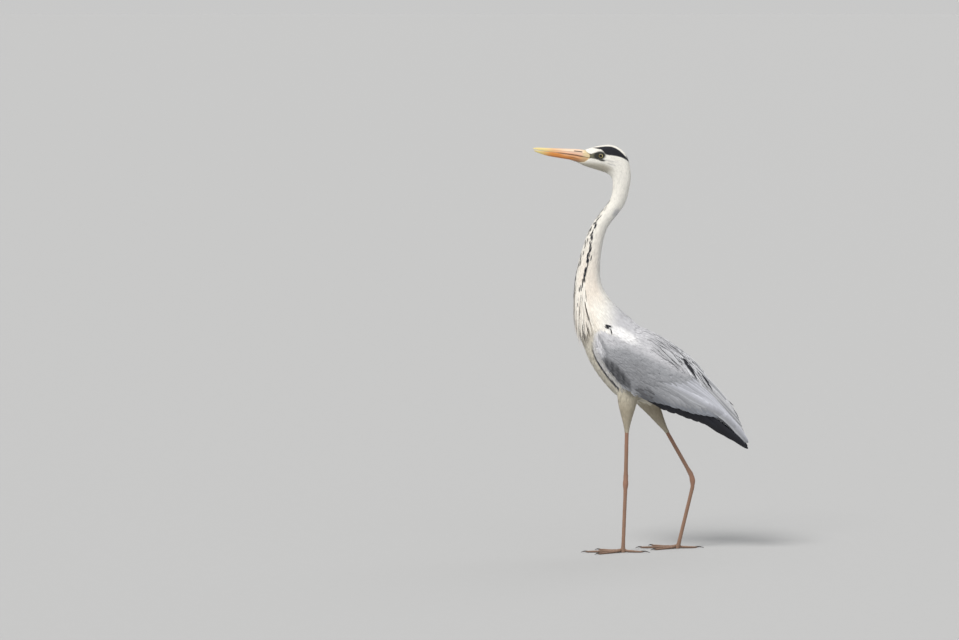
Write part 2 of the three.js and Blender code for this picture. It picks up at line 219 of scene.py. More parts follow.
# The black stripe on each side of the crown: its lower and upper edge at places y.
STRIPE_Y = (-108, -98, -92, -87, -81, -75, -67, -55, -45, -35, -28)
STRIPE_LOW = (921, 919, 918, 913.5, 907, 905.5, 905, 903, 900, 895, 889)
STRIPE_HIGH = (922, 923, 924, 924.5, 925, 925, 924, 919, 911, 900.5, 892)
# The near row of neck streaks: the angle from the front of the neck at heights z.
STREAK_Z = (545, 572, 594, 642, 676, 710, 751, 797)
STREAK_ANGLE = (24, 34, 48, 70, 76, 68, 47, 10)


def band(value, low, high, soft):
    """1 between low and high, 0 outside, with soft edges."""
    return ramp(value, low - soft, low + soft) * ramp(value, high + soft, high - soft)


def blob(places, centre, along, half_length, half_width, soft):
    """1 inside an ellipse in side view, that lies along a heading (y, z)."""
    along = unit(np.array(along, float))
    offset = places[:, 1:] - np.array(centre, float)
    across = np.column_stack([-along[1] * np.ones(len(offset)), along[0] * np.ones(len(offset))])
    radius = np.hypot(offset @ along / half_length, dot(offset, across) / half_width)
    return ramp(radius, 1 + soft, 1 - soft)


# The bare skin between bill and eye: its upper and lower edge at places y.
BARE_Y = (-164, -160, -150, -140, -131, -128, -124, -119, -115, -106, -98)
BARE_HIGH = (930, 930, 930, 930, 919, 916, 912, 909, 908, 911, 912)
BARE_LOW = (894, 892.5, 889.5, 888.5, 888.5, 890, 893, 897, 898, 897, 895)


def in_face_skin(places):
    """How far inside the bare skin of the face each place is, in millimetres: negative outside it."""
    y, z = places[:, 1], places[:, 2]
    inside = np.minimum(np.interp(y, BARE_Y, BARE_HIGH) - z, z - np.interp(y, BARE_Y, BARE_LOW))
    return np.minimum(inside, -98 - y)


def head_marks(colour, places, reach):
    """The black crown stripe, the bare face, the dark lore, painted shade in a crease behind it and painted
    shade under the chin.
    """
    x, y, z = np.abs(places[:, 0]), places[:, 1], places[:, 2]
    on_head = ramp(reach, NAPE + 26, NAPE + 8)
    low, high = np.interp(y, STRIPE_Y, STRIPE_LOW), np.interp(y, STRIPE_Y, STRIPE_HIGH)
    stripe = band(z, low, high, 0.7) * band(y, -110, -24, 2)
    hind = ramp(y, -38, -31) * ramp(z, low - 1, low + 2)
    strokes = band(y, -118.5, -115, 1.2) * (1 - band(z, 902, 905.5, 1))
    bare_tone = painted(BARE_CREAM, (OLIVE, ramp(y, -118.5, -115.5)), (LORE, strokes * 0.85))
    patch = blob(places, (-95, 904.5), (1, 0.1), 13.5, 9.6, 0.22) * on_head
    patch = np.maximum(patch, blob(places, (-91, 894.5), (1, -0.25), 8, 2.8, 0.4) * on_head)
    # Painted shade in creases of the cheek.
    crease = blob(places, (-76, 893), (1, -0.18), 17, 1.1, 0.8) * on_head
    crease = np.maximum(crease, blob(places, (-68, 884), (1, -0.25), 9, 1.2, 0.8) * on_head)
    # Painted shade low on the face and under the chin.
    shade_top = np.interp(y, (-150, -110, -88, -66, -50), (894, 893, 890, 881, 866))
    chin = ramp(z, shade_top, shade_top - 11)
    return painted(
        colour,
        (BLACK, np.maximum(stripe, hind) * on_head),
        (bare_tone, ramp(in_face_skin(places), -0.4, 0.6) * (x > 4) * on_head),
        (LORE, patch * (x > 5)),
        (GREY, crease * 0.4),
        (PAINTED_SHADE_WHITE * 0.85, chin * ramp(reach, NAPE, CROWN) * 0.9),
    )


def streak_angles(z):
    """Angles from the front of the neck, towards the left side, of the near and the far row of streaks."""
    near = np.interp(z, STREAK_Z, STREAK_ANGLE)
    return near, near - np.interp(z, (545, 640, 797), (44, 62, 16))


def neck_marks(colour, places, reach, angle):
    """Warm sides low on the neck, painted shade under the breast plumes, a grey hind neck and painted shade of
    a fold on it.
    """
    collar = ramp(reach, SHOULDER, COLLAR)
    warm = ramp(reach, NECK_BEND, NECK_BASE) * collar * band(angle, 30, 150, 25)
    # Painted shade between the breast plumes.
    under_plumes = band(reach, NECK_BASE, SHOULDER - 12, 14) * ramp(angle, 116, 140)
    behind = ramp(reach, NAPE, NECK_BEND) * ramp(angle, 60, 15) * collar
    # Painted shade of a fold at the bend of the neck.
    fold_shade = blob(places, (-57, 775), (0.5, 0.85), 10, 6, 0.7)
    return painted(colour, (CREAM, warm * 0.85), (PAINTED_SHADE_BROWN, under_plumes * 0.6), (LILAC, behind * 0.3),
                   (LILAC * 0.9, fold_shade * 0.75))


def trunk_marks(colour, places, reach, angle):
    """The grey upper side, painted shade on the belly, and a dark line with a pale rim along the wing's front
    edge.
    """
    y = places[:, 1]
    grey = ramp(reach, NECK_BASE + 2, COLLAR + 26) * ramp(angle, 122, 78)
    upper = painted(WHITE, (LILAC, ramp(y, -96, -46)), (GREY, 0.45 * ramp(y, 0, 90)))
    # Painted shade on the belly.
    belly = ramp(reach, COLLAR + 20, SHOULDER + 10) * ramp(angle, 100, 130)
    _, inner, _ = near_hem(places)
    flank = ramp(inner, -3.6, -2.2) * ramp(inner, 18, 14) * ramp(np.abs(places[:, 0]), 28, 34)
    flank = flank * ramp(angle, 84, 90) * band(y, -112, -24, 8) * ramp(places[:, 2], 484, 468)
    rim = mix(LILAC, WHITE, 0.25 + 0.4 * ramp(y, -100, -60))
    return painted(colour, (upper, grey), (PAINTED_SHADE_WHITE, belly * 0.8), (BLACK * 2, flank),
                   (rim * 0.9, flank * ramp(inner, 0.4, 1.8)))


def wing_marks(places):
    """The wing coverts: pale at the top and at the front corner, dusky in the middle, slate on the bend, with
    painted shade in the fold beside the corner.
    """
    y = places[:, 1]
    gap, _, _ = near_hem(places)
    high = places[:, 2] - np.interp(y, (-110, -40, 0, 50, 100), (474, 470, 455, 430, 405))
    fingers = 0.94 + 0.12 * np.sin(y * 0.55 + 0.06 * places[:, 2])
    slate = blob(places, (-57, 413), (0.68, -0.73), 46, 13, 0.4) * ramp(gap, 9.5, 11.5) * fingers
    slate = np.maximum(slate, blob(places, (18, 362), (0.87, -0.5), 34, 12, 0.5) * 0.85)
    rim = mix(LILAC, WHITE, 0.3 + 0.5 * ramp(y, -100, -60))
    return painted(
        GREY,
        (LILAC, 0.85 * ramp(high, -10, 12) + 0.12 * ramp(y, 60, 150) * ramp(high, 0, -8)),
        (GREY * 0.68, blob(places, (-12, 410), (0.75, -0.66), 52, 28, 0.9) * 0.75),
        (SLATE * 0.85, slate * 0.96),
        (LILAC * 1.12, blob(places, (-102, 478), (0.25, -1), 34, 12, 0.5) * 0.9),
        # Painted shade in the fold beside the wing's front corner.
        (GREY * 0.6, blob(places, (-89, 481), (0.45, -0.9), 23, 3.6, 0.6) * 0.7),
        (rim, ramp(gap, 8.5, 7) * ramp(y, 14, -16)),
    )


def scapular_marks(places, angle):
    """The back: darker towards the rear, with a painted shadow band near its front and painted shade under the
    long plumes.
    """
    y = places[:, 1]
    # A painted shadow band under the front of the mantle.
    shadow_band = blob(places, (14, 478), (0.85, -0.5), 28, 5, 0.7)
    # Painted shade on the back under the long plumes.
    hidden = ramp(y, 50, 80) * band(angle, 9, 40, 5)
    return painted(LILAC, (GREY, 0.55 * ramp(y, 20, 100)), (GREY, shadow_band * 0.6), (GREY * 0.6, hidden * 0.9))


def markings(places, labels):
    """The colour of the plumage at each place, in linear red, green and blue."""
    reach, _, angle = on_spine(places)
    plain = np.tile(WHITE, (len(places), 1))
    colour = head_marks(plain, places, reach)
    colour = neck_marks(colour, places, reach, angle)
    colour = trunk_marks(colour, places, reach, angle)
    wing = wing_marks(places)
    scapular = scapular_marks(places, angle)
    # The thigh: white in painted shade at the top, going to buff below, which is partly its own buff and
    # partly painted shade.
    thigh = mix(PAINTED_SHADE_WHITE, BUFF, 0.9 * ramp(places[:, 2], 380, 320))
    is_trunk = (labels == "trunk") | (labels == "neck_lower")
    colour = mix(colour, wing, on_corner(places) * is_trunk)
    for start, tone in (("wing", wing), ("scap", scapular), ("thigh", thigh)):
        mine = named(labels, start)
        colour[mine] = tone[mine]
    # A painted highlight: a bluish white band where the light falls on the top of the shoulder and the wing.
    shoulder = blob(places, (-42, 500), (0.86, -0.5), 34, 11, 0.5) * (np.abs(places[:, 0]) > 20)
    return mix(colour, WHITE * (0.97, 0.99, 1.07), shoulder * 0.9)


# ---------------------------------------------------------------- meshes
def read(collection, key, size, kind=np.float32):
    """size numbers from each item of a Blender collection."""
    values = np.empty(len(collection) * size, kind)
    collection.foreach_get(key, values)
    return values.reshape(-1, size)


def write(collection, key, values):
    collection.foreach_set(key, values.astype(np.float32).ravel())


def placed(name, data):
    """A new object in the scene."""
    made = bpy.data.objects.new(name, data)
    bpy.context.scene.collection.objects.link(made)
    return made


def node_shape(name, grow=0.0):
    """A CAD node's vertices, joined where they meet and pushed out by grow, and its triangles."""
    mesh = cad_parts[name].data
    corners = to_work(read(mesh.vertices, "co", 3))
    places, index = np.unique(np.round(corners, 3), axis=0, return_inverse=True)
    mesh.calc_loop_triangles()
    triangles = index.reshape(-1)[read(mesh.loop_triangles, "vertices", 3, np.int32)]
    a, b, c = (places[triangles[:, k]] for k in range(3))
    facing = np.cross(b - a, c - a)
    normals = np.zeros_like(places)
    for k in range(3):
        np.add.at(normals, triangles[:, k], facing)
    return places + unit(normals) * grow, triangles


def joined_shapes(names, grow=0.0):
    """The places and triangles of several CAD nodes together, and the name of each triangle's node."""
    shapes = [node_shape(name, grow) for name in names]
    starts = np.cumsum([0] + [len(places) for places, _ in shapes])
    triangles = np.vstack([faces + start for (_, faces), start in zip(shapes, starts)])
    owners = np.concatenate([[name] * len(faces) for name, (_, faces) in zip(names, shapes)])
    return np.vstack([places for places, _ in shapes]), triangles, owners


def new_object(name, places, faces):
    """A mesh object from places in working millimetres and arrays of faces with equal numbers of corners."""
    mesh = bpy.data.meshes.new(name)
    mesh.vertices.add(len(places))
    write(mesh.vertices, "co", to_frame(places))
    sizes = np.concatenate([np.full(len(part), part.shape[1]) for part in faces])
    corners = np.concatenate([np.asarray(part, np.int32).ravel() for part in faces])
    mesh.loops.add(len(corners))
    mesh.loops.foreach_set("vertex_index", corners)
    mesh.polygons.add(len(sizes))
    mesh.polygons.foreach_set("loop_start", np.concatenate([[0], np.cumsum(sizes)[:-1]]).astype(np.int32))
    mesh.update(calc_edges=True)
    mesh.shade_smooth()
    return placed(name, mesh)


def mesh_normals(mesh):
    return read(mesh.vertex_normals, "vector", 3).astype(float)


def set_places(mesh, places):
    write(mesh.vertices, "co", to_frame(places))
    mesh.update()


def corner_vertices(mesh):
    return read(mesh.loops, "vertex_index", 1, np.int32).ravel()


def add_map(mesh, name, points):
    """A UV map from one pair of numbers for each vertex."""
    write(mesh.uv_layers.new(name=name).uv, "vector", points[corner_vertices(mesh)])


def add_tint(mesh, colours):
    """The colour of each vertex, which the materials read."""
    full = np.column_stack([np.clip(colours, 0, 1), np.ones(len(colours))])
    write(mesh.attributes.new("Tint", "FLOAT_COLOR", "POINT").data, "color", full)


def largest_part(places, faces):
    """Only the vertices and faces of the largest connected part, which drops closed hollows."""
    group = np.arange(len(places))
    while True:
        low = group[faces].min(1)
        before = group.copy()
        for k in range(faces.shape[1]):
            np.minimum.at(group, faces[:, k], low)
        group = group[group]
        if (group == before).all():
            break
    kept = group == np.bincount(group).argmax()
    number = np.cumsum(kept) - 1
    return places[kept], number[faces[kept[faces[:, 0]]]]


def remeshed(name, nodes, voxel, grow, lens=None):
    """One closed quad mesh round CAD nodes. voxel is its step in millimetres; a lens makes it finer."""
    places, triangles, _ = joined_shapes(nodes, grow)
    rough = new_object(name, lens.magnify(places) if lens else places, [triangles])
    remesh = rough.modifiers.new("Remesh", "REMESH")
    remesh.mode = "VOXEL"
    remesh.voxel_size = voxel * MM
    graph = bpy.context.evaluated_depsgraph_get()
    mesh = bpy.data.meshes.new_from_object(rough.evaluated_get(graph))
    quads = corner_vertices(mesh).reshape(-1, 4)
    places, quads = largest_part(to_work(read(mesh.vertices, "co", 3)), quads)
    bpy.data.objects.remove(rough)
    return lens.restore(places) if lens else places, quads


class Lens:
    """Spreads places out round a centre, so that a mesh made meanwhile is finer there."""

    def __init__(self, centre, power, radius):
        self.centre = np.array(centre, float)
        self.true = np.linspace(0, 2000, 4001)
        self.shown = self.true + (power - 1) * radius * (1 - np.exp(-self.true / radius))

    def moved(self, places, have, want):
        offset = places - self.centre
        distance = np.linalg.norm(offset, axis=1)
        return self.centre + offset * (np.interp(distance, have, want) / np.maximum(distance, 1e-6))[:, None]

    def magnify(self, places):
        return self.moved(places, self.true, self.shown)

    def restore(self, places):
        return self.moved(places, self.shown, self.true)


def quad_edges(quads):
    pairs = np.sort(np.vstack([quads[:, [k, (k + 1) % 4]] for k in range(4)]), axis=1)
    return np.unique(pairs, axis=0)


def smoothed(places, quads, rounds):
    """Each vertex moves half of the way to the middle of its neighbours, rounds times over."""
    edges = quad_edges(quads)
    count = np.bincount(edges.ravel(), minlength=len(places))[:, None]
    for _ in range(rounds):
        total = np.column_stack([
            np.bincount(edges[:, 0], places[edges[:, 1], k], len(places))
            + np.bincount(edges[:, 1], places[edges[:, 0], k], len(places)) for k in range(3)
        ])
        places = places + (total / count - places) * 0.5
    return places


RAY_REACH = 400.0  # how far rays look for a surface
NOWHERE = (math.nan, math.nan, math.nan)


class Surface:
    """A surface to find places on, in working millimetres."""

    def __init__(self, places, faces):
        self.tree = BVHTree.FromPolygons([tuple(place) for place in places],
                                         [tuple(face) for face in faces.tolist()])

    def nearest(self, places):
        """The nearest place on the surface to each place, the normal there and the face."""
        found = [self.tree.find_nearest(place) for place in places.tolist()]
        spots = np.array([hit[0][:] for hit in found])
        normals = np.array([hit[1][:] for hit in found])
        return spots, normals, np.array([hit[2] for hit in found])

    def cast(self, starts, headings, reach=RAY_REACH):
        """The place and normal that each ray meets, or nan."""
        hits = [self.tree.ray_cast(start, heading, reach)
                for start, heading in zip(starts.tolist(), headings.tolist())]
        return tuple(np.array([NOWHERE if hit[0] is None else hit[k][:] for hit in hits]) for k in (0, 1))


# ---------------------------------------------------------------- skin
# Rings of each mandible from base to tip: y and z of its upper edge, y and z of its lower edge, half width.
UPPER_MANDIBLE = np.array([
    (-110, 911.5, -114, 898, 9.6), (-131, 916.6, -135, 902.2, 9.7), (-152, 918.8, -155, 905.8, 8.2),
    (-183, 919.8, -185, 910, 6), (-214, 921, -215, 913.4, 3.9), (-236, 921.8, -237, 917, 2.1),
    (-246, 920.8, -246, 919, 0.8),
], float)
LOWER_MANDIBLE = np.array([
    (-114, 896.9, -121, 882, 9.1), (-135, 901.5, -140, 887.5, 9.3), (-155, 905.1, -159, 893.6, 7.8),
    (-185, 909.3, -187, 898.4, 5.6), (-215, 912.7, -216, 903.8, 3.6), (-235, 915.2, -236, 910.4, 1.8),
    (-244, 915.6, -244, 914.2, 0.7),
], float)
DOME = 0.85  # how the mandibles' height falls off round their sides

SIDES = {"left": 1, "right": -1}
FLESH = ["head", "neck_upper", "neck_middle", "neck_lower", "trunk"]
FLESH += [f"{part}_{side}" for part in ("thigh", "wing", "scapulars") for side in SIDES]
SKIN_VOXEL = 2.5
FACE_ROUNDS, SKIN_ROUNDS, NORMAL_ROUNDS = 6, 14, 16  # how often each is smoothed
THIN = 0.3  # the skin sinks at most this share of the body's thickness from each side
FACE_LENS = Lens((0, -108, 902), 2.1, 45)
WING_TRIM = 8.5  # how far inside the wing's lower edge its skin ends
NODE_GROWTH = 0.5  # closes the clearance between the CAD solids


class Labels:
    """Names the CAD node that is nearest to a place."""

    def __init__(self, nodes):
        places, triangles, self.names = joined_shapes(nodes)
        self.surface = Surface(places, triangles)

    def at(self, places):
        return self.names[self.surface.nearest(places)[2]]


def coat_depth(labels, reach):
    """How far the skin lies under the surface of the coat."""
    depth = np.full(len(labels), 2.4)
    depth[named(labels, "thigh")] = 1.6
    neck = np.interp(reach, (FACE, EYES, NAPE, NECK_BASE, SHOULDER), (0.5, 0.7, 1.2, 1.9, 2.4))
    on_neck = named(labels, "neck") | (labels == "head")
    depth[on_neck] = neck[on_neck]
    return depth


def horn_half_width(rings, dome_sign, places):
    """How wide the mandible is at each place, or 0 above and below it."""
    order = np.argsort(rings[:, 0] + rings[:, 2])
    middle = (rings[order, 0] + rings[order, 2]) / 2
    high, low, side = (np.interp(places[:, 1], middle, rings[order, k]) for k in (1, 3, 4))
    share = (places[:, 2] - low) / (high - low)
    dome = share if dome_sign > 0 else 1 - share
    lean = np.clip(dome, 0, 1) ** (1 / DOME)
    return side * np.sqrt(1 - lean**2) * ((dome > -0.1) & (dome < 1))


def behind_horn(places):
    """Draws the face in where the base of the bill shows, so that the border runs back towards the eye."""
    width = np.maximum(horn_half_width(UPPER_MANDIBLE, 1, places),
                       horn_half_width(LOWER_MANDIBLE, -1, places))
    drawn = np.sign(places[:, 0]) * np.minimum(np.abs(places[:, 0]), np.maximum(width - 0.6, 1))
    shown = ramp(in_face_skin(places), 0, 2.0) * ramp(places[:, 1], -114, -119) * ramp(width, 3, 5.5)
    places = places.copy()
    places[:, 0] += (drawn - places[:, 0]) * shown
    return places


def trimmed(places, labels):
    """Draws the thin edge of the folded wing, which the remesh leaves ragged, back to a clean line."""
    _, inner, index = near_hem(places)
    edge = np.interp(HEM_REACH, np.linspace(0, HEM_REACH[-1], len(HEM_X)), HEM_X)[index]
    free = named(labels, "wing") * ramp(np.abs(places[:, 0]) - edge, -15, -9)
    step = np.maximum(WING_TRIM - inner, 0) * free * ramp(places[:, 1], 120, 90)
    places = places.copy()
    places[:, 1] -= HEM_AHEAD[index, 1] * step
    places[:, 2] += HEM_AHEAD[index, 0] * step
    return places


def make_skin():
    """The coloured skin under the feathers: its object, places and quads."""
    places, quads = remeshed("skin", FLESH, SKIN_VOXEL, NODE_GROWTH, FACE_LENS)
    reach, _, _ = on_spine(places)
    face, rest = (smoothed(places, quads, rounds) for rounds in (FACE_ROUNDS, SKIN_ROUNDS))
    places = mix(face, rest, ramp(reach, EYES, NAPE))
    labels = LABELS.at(places)
    skin = new_object("skin", places, [quads])
    normals = mesh_normals(skin.data)
    through, _ = Surface(places, quads).cast(places - normals * 0.05, -normals)
    room = np.nan_to_num(np.linalg.norm(through - places, axis=1), nan=99.0)
    depth = np.minimum(coat_depth(labels, reach) + NODE_GROWTH, THIN * room)
    places = places - normals * depth[:, None]
    places = behind_horn(trimmed(places, labels))
    set_places(skin.data, places)
    add_tint(skin.data, markings(places, labels) * 0.85)
    return skin, places, quads


def unwrap(obj):
    """The skin's own unwrap, in islands cut where it turns."""
    bpy.ops.object.select_all(action="DESELECT")
    bpy.context.view_layer.objects.active = obj
    obj.select_set(True)
    bpy.ops.object.mode_set(mode="EDIT")
    bpy.ops.mesh.select_all(action="SELECT")
    bpy.ops.uv.smart_project(angle_limit=math.radians(70), island_margin=0.003, area_weight=1.0)
    bpy.ops.object.mode_set(mode="OBJECT")
    layer = obj.data.uv_layers.active
    layer.name = "OFBake"
    return read(layer.uv, "vector", 2).reshape(-1, 4, 2)


TRIES = 3.2  # how many places are tried for each that a square of the spacing holds


class Skin:
    """The skin with what the feathers need to know of it."""

    def __init__(self):
        self.piece, self.places, self.quads = make_skin()
        self.patches = unwrap(self.piece)
        self.normals = unit(smoothed(mesh_normals(self.piece.data), self.quads, NORMAL_ROUNDS))
        self.surface = Surface(self.places, self.quads)

    def nearest(self, places):
        """Places on the skin, their smooth normals and faces."""
        spots, _, faces = self.surface.nearest(places)
        corners = self.places[self.quads[faces]]
        weights = 1 / (np.linalg.norm(corners - spots[:, None], axis=2) + 0.05)
        normals = unit((self.normals[self.quads[faces]] * weights[..., None]).sum(1))
        return spots, normals, faces

    def flat_normals(self, faces):
        corners = self.places[self.quads[faces]]
        return unit(np.cross(corners[:, 2] - corners[:, 0], corners[:, 3] - corners[:, 1]))

    def unwrapped(self, spots, faces):
        """Where the spots are on the unwrap."""
        corners = self.places[self.quads[faces]]
        weights = 1 / (np.linalg.norm(corners - spots[:, None], axis=2) ** 2 + 0.01)
        return (self.patches[faces] * weights[..., None]).sum(1) / weights.sum(1)[:, None]

    def scatter(self, spacing_at):
        """Seeded places on the skin, spaced by spacing_at(places, labels), with none where that is 0."""
        corners = self.places[self.quads]
        middles = corners.mean(1)
        labels = LABELS.at(middles)
        spacing = spacing_at(middles, labels)
        facing = np.cross(corners[:, 2] - corners[:, 0], corners[:, 3] - corners[:, 1])
        area = np.linalg.norm(facing, axis=1) / 2
        tries = np.where(spacing > 0, TRIES * area / np.maximum(spacing, 0.1) ** 2, 0)
        count = RNG.poisson(tries)
        chosen = np.repeat(np.arange(len(area)), count)
        RNG.shuffle(chosen)
        s, t = RNG.random((2, len(chosen), 1))
        a, b, c, d = (corners[chosen, k] for k in range(4))
        spots = (a * (1 - s) + b * s) * (1 - t) + (d * (1 - s) + c * s) * t
        return spots[spread_out(spots, spacing[chosen])]


def spread_out(spots, spacing):
    """Which of the spots to keep, so that none is nearer to an earlier one than its spacing."""
    level = np.floor(np.log2(spacing) * 2).astype(int)
    size = 2.0 ** ((level + 1) / 2)
    cells = np.column_stack([level, np.floor(spots / size[:, None]).astype(int)])
    near = [(i, j, k) for i in (-1, 0, 1) for j in (-1, 0, 1) for k in (-1, 0, 1)]
    taken = {}
    kept = []
    rows = zip(cells.tolist(), spots.tolist(), (spacing**2).tolist())
    for index, ((size_here, i, j, k), (x, y, z), gap) in enumerate(rows):
        crowded = any((ox - x) ** 2 + (oy - y) ** 2 + (oz - z) ** 2 < gap
                      for di, dj, dk in near
                      for ox, oy, oz in taken.get((size_here, i + di, j + dj, k + dk), ()))
        if not crowded:
            taken.setdefault((size_here, i, j, k), []).append((x, y, z))
            kept.append(index)
    return np.array(kept, int)


LABELS = Labels(FLESH)
skin = Skin()


# ---------------------------------------------------------------- feathers
UP = np.array((0.0, 0.0, 1.0))
PATCH = 0.003  # the size of a feather's patch on the skin's unwrap
# How far along each row of a vane is, and its share of the full width there.
PROFILES = {
    "hair": ((0.0, 0.2, 0.58, 0.86, 1.0), (0.0, 0.8, 1.0, 0.62, 0.0)),
    "soft": ((0.0, 0.16, 0.42, 0.68, 0.88, 1.0), (0.0, 0.62, 0.98, 0.92, 0.58, 0.0)),
    "covert": ((0.0, 0.1, 0.3, 0.52, 0.72, 0.87, 0.96, 1.0), (0.0, 0.45, 0.86, 1.0, 0.98, 0.78, 0.42, 0.0)),
    "quill": ((0, 0.05, 0.14, 0.28, 0.42, 0.56, 0.7, 0.82, 0.9, 0.96, 0.99, 1.0),
              (0, 0.32, 0.72, 0.92, 1.0, 1.0, 0.98, 0.9, 0.74, 0.48, 0.24, 0.0)),
    "lance": ((0, 0.04, 0.12, 0.22, 0.34, 0.46, 0.58, 0.7, 0.8, 0.89, 0.96, 1.0),
              (0, 0.3, 0.72, 0.95, 1.0, 0.92, 0.78, 0.6, 0.43, 0.27, 0.13, 0.0)),
}
STEPS = {name: np.array(rows[0], float) for name, rows in PROFILES.items()}
SHARES = {name: np.array(rows[1], float) for name, rows in PROFILES.items()}
# Which way the feathers lie on the wing, the back and the rear of the back.
WING_FLOW = (0.0, 0.83, -0.56)
BACK_FLOW = (0.16, 0.80, -0.60)
RUMP_FLOW = (0.13, 0.56, -0.82)


def flow(places, labels):
    """Which way the feathers lie at each place, before it is flattened on the skin."""
    _, heading, _ = on_spine(places)
    y, still = places[:, 1], np.zeros(len(places))
    side = np.sign(places[:, 0] + 1e-6)
    gap, _, index = near_hem(places)
    along_hem = np.column_stack([still, HEM_AHEAD[index]])
    outward = np.column_stack([still, HEM_AHEAD[index, 1], -HEM_AHEAD[index, 0]])
    along_hem = along_hem + 0.4 * outward * ramp(gap, 16, 10)[:, None] * ramp(y, 14, -16)[:, None]
    wing = mix(np.array(WING_FLOW), along_hem, ramp(gap, 34, 8))
    back = mix(np.array(BACK_FLOW), np.array(RUMP_FLOW), ramp(y, 30, 95))
    back[:, 0] *= side
    thigh = np.column_stack([still, np.where(side > 0, 0.02, 0.42), still - 0.9])
    for start, lie in (("wing", wing), ("scap", back), ("thigh", thigh)):
        mine = named(labels, start)
        heading[mine] = lie[mine]
    return heading


def turned(headings, normals, angles):
    """Headings turned about the normals."""
    return headings * np.cos(angles)[:, None] + np.cross(normals, headings) * np.sin(angles)[:, None]


FACING = 0.35  # below this the skin has turned away, and the line goes on through the air
LIFTED = 1.2, 0.03  # how far such a line may stand off the skin: in millimetres, and as a share of its length


def trace(roots, lengths, steps, labels, turn, hold=0.5):
    """Lines laid along the skin from the roots: their places and the normals there, and the roots' faces.
    turn is each line's own turn off the flow, and hold how much of its heading it keeps at each step."""
    spots, normals, faces = skin.nearest(roots)
    heading = turned(flatten(flow(spots, labels), normals), normals, turn)
    lines, uprights = [spots], [normals]
    for share in np.diff(steps):
        ahead = spots + heading * (lengths * share)[:, None]
        landed, found, _ = skin.nearest(ahead)
        gap = np.linalg.norm(landed - ahead, axis=1)
        off = (dot(found, normals) < FACING) | (gap > 0.6 * lengths * share + 1)
        lifted = np.minimum(1, (LIFTED[0] + LIFTED[1] * lengths) / np.maximum(gap, 1e-6))
        spots = np.where(off[:, None], landed + (ahead - landed) * lifted[:, None], landed)
        normals = unit(np.where(off[:, None], normals, found + 0.6 * normals))
        fresh = turned(flatten(flow(spots, labels), normals), normals, turn)
        heading = flatten(hold * flatten(heading, normals) + (1 - hold) * fresh, normals)
        lines.append(spots)
        uprights.append(normals)
    return eased(np.stack(lines, 1)), np.stack(uprights, 1), faces


def eased(rows):
    """Values along each row, each drawn towards its neighbours three times over. The ends stay."""
    for _ in range(3):
        inner = (rows[:, :-2] + 2 * rows[:, 1:-1] + rows[:, 2:]) / 4
        rows = np.concatenate([rows[:, :1], inner, rows[:, -1:]], axis=1)
    return rows


def straight(lines, normals, limit=0.78):
    """True for the lines that never kink, along their course or in the way that they face."""
    ahead = unit(np.diff(lines, axis=1))
    bends = dot(ahead[:, 1:], ahead[:, :-1]).min(1)
    turns = dot(normals[:, 1:], normals[:, :-1]).min(1)
    return (bends > limit) & (turns > limit - 0.1) & (dot(normals[:, 0], normals[:, -1]) > 0.0)


class Coat:
    """A piece of plumage: closed vanes joined in one mesh."""

    def __init__(self, name):
        self.name = name
        self.parts = []

    def add(self, lines, normals, widths, colours, roots_on_map, profile,
            camber=0.14, columns=3, edge=1.0, web=None):
        """Vanes along lines (feather, row, 3), of full widths, coloured (feather, row, 3) or (feather, 3).
        edge shades their rims, and web is the colour of the half to the right of the shaft."""
        steps, shares = STEPS[profile], SHARES[profile]
        count = len(lines)
        lengths = np.linalg.norm(np.diff(lines, axis=1), axis=2).sum(1)
        right = unit(np.cross(unit(np.gradient(lines, axis=1)), normals))
        half = (widths[:, None] * shares / 2 * RNG.uniform(0.93, 1.07, (count, len(steps))))[:, 1:-1, None]
        across = np.linspace(-1, 1, columns)
        spread = half * across
        rows = lines[:, 1:-1, None] + right[:, 1:-1, None] * spread[..., None]
        rows = rows - normals[:, 1:-1, None] * (camber * half * 2 * across**2)[..., None]
        places = np.concatenate([lines[:, :1], rows.reshape(count, -1, 3), lines[:, -1:]], axis=1)
        if colours.ndim == 2:
            colours = np.repeat(colours[:, None], len(steps), axis=1)
        shade = (1 + (edge - 1) * np.abs(across) ** 3)[:, None]
        tints = colours[:, 1:-1, None] * shade
        if web is not None:
            on_web = np.broadcast_to(across > 0.05, tints.shape[:3]) * 1.0
            tints = mix(tints, web[:, None, None] * shade, on_web)
        tints = np.concatenate([colours[:, :1], tints.reshape(count, -1, 3), colours[:, -1:] * edge], axis=1)
        reach = lengths[:, None, None] * steps[1:-1, None] * np.ones(columns)
        tips = np.stack([np.zeros(count), lengths], 1)[:, None]
        flat = np.stack([spread, reach], -1).reshape(count, -1, 2)
        vane = np.concatenate([np.zeros((count, 1, 2)), flat, tips], axis=1)
        size = np.array((widths.max(), lengths.max()))
        on_map = roots_on_map[:, None] + (vane - (0, 0.5 * lengths.max())) / size * PATCH
        row_count = len(steps) - 2
        arrays = places, tints, vane, on_map
        self.parts.append((arrays, vane_faces(row_count, columns), vane_rims(row_count, columns)))

    def make(self, material, slot):
        """The mesh of all the vanes, with its colours and maps."""
        faces, rims = [], []
        start = 0
        for (places, *_), groups, rim in self.parts:
            count, corners = places.shape[:2]
            shift = (start + np.arange(count) * corners)[:, None, None]
            faces += [(group[None] + shift).reshape(-1, group.shape[1]) for group in groups]
            rims.append(np.tile(rim, count))
            start += count * corners
        places, tints, vane, on_map = (
            np.vstack([array.reshape(-1, array.shape[2]) for array in arrays])
            for arrays in zip(*(part[0] for part in self.parts)))
        piece = new_object(self.name, places, faces)
        add_tint(piece.data, tints)
        add_map(piece.data, "OFBake", on_map)
        add_map(piece.data, "Vane", vane)
        piece.data.uv_layers["Vane"].active_render = True
        crease_rims(piece.data, np.concatenate(rims))
        finished(piece, material, slot)
        return piece


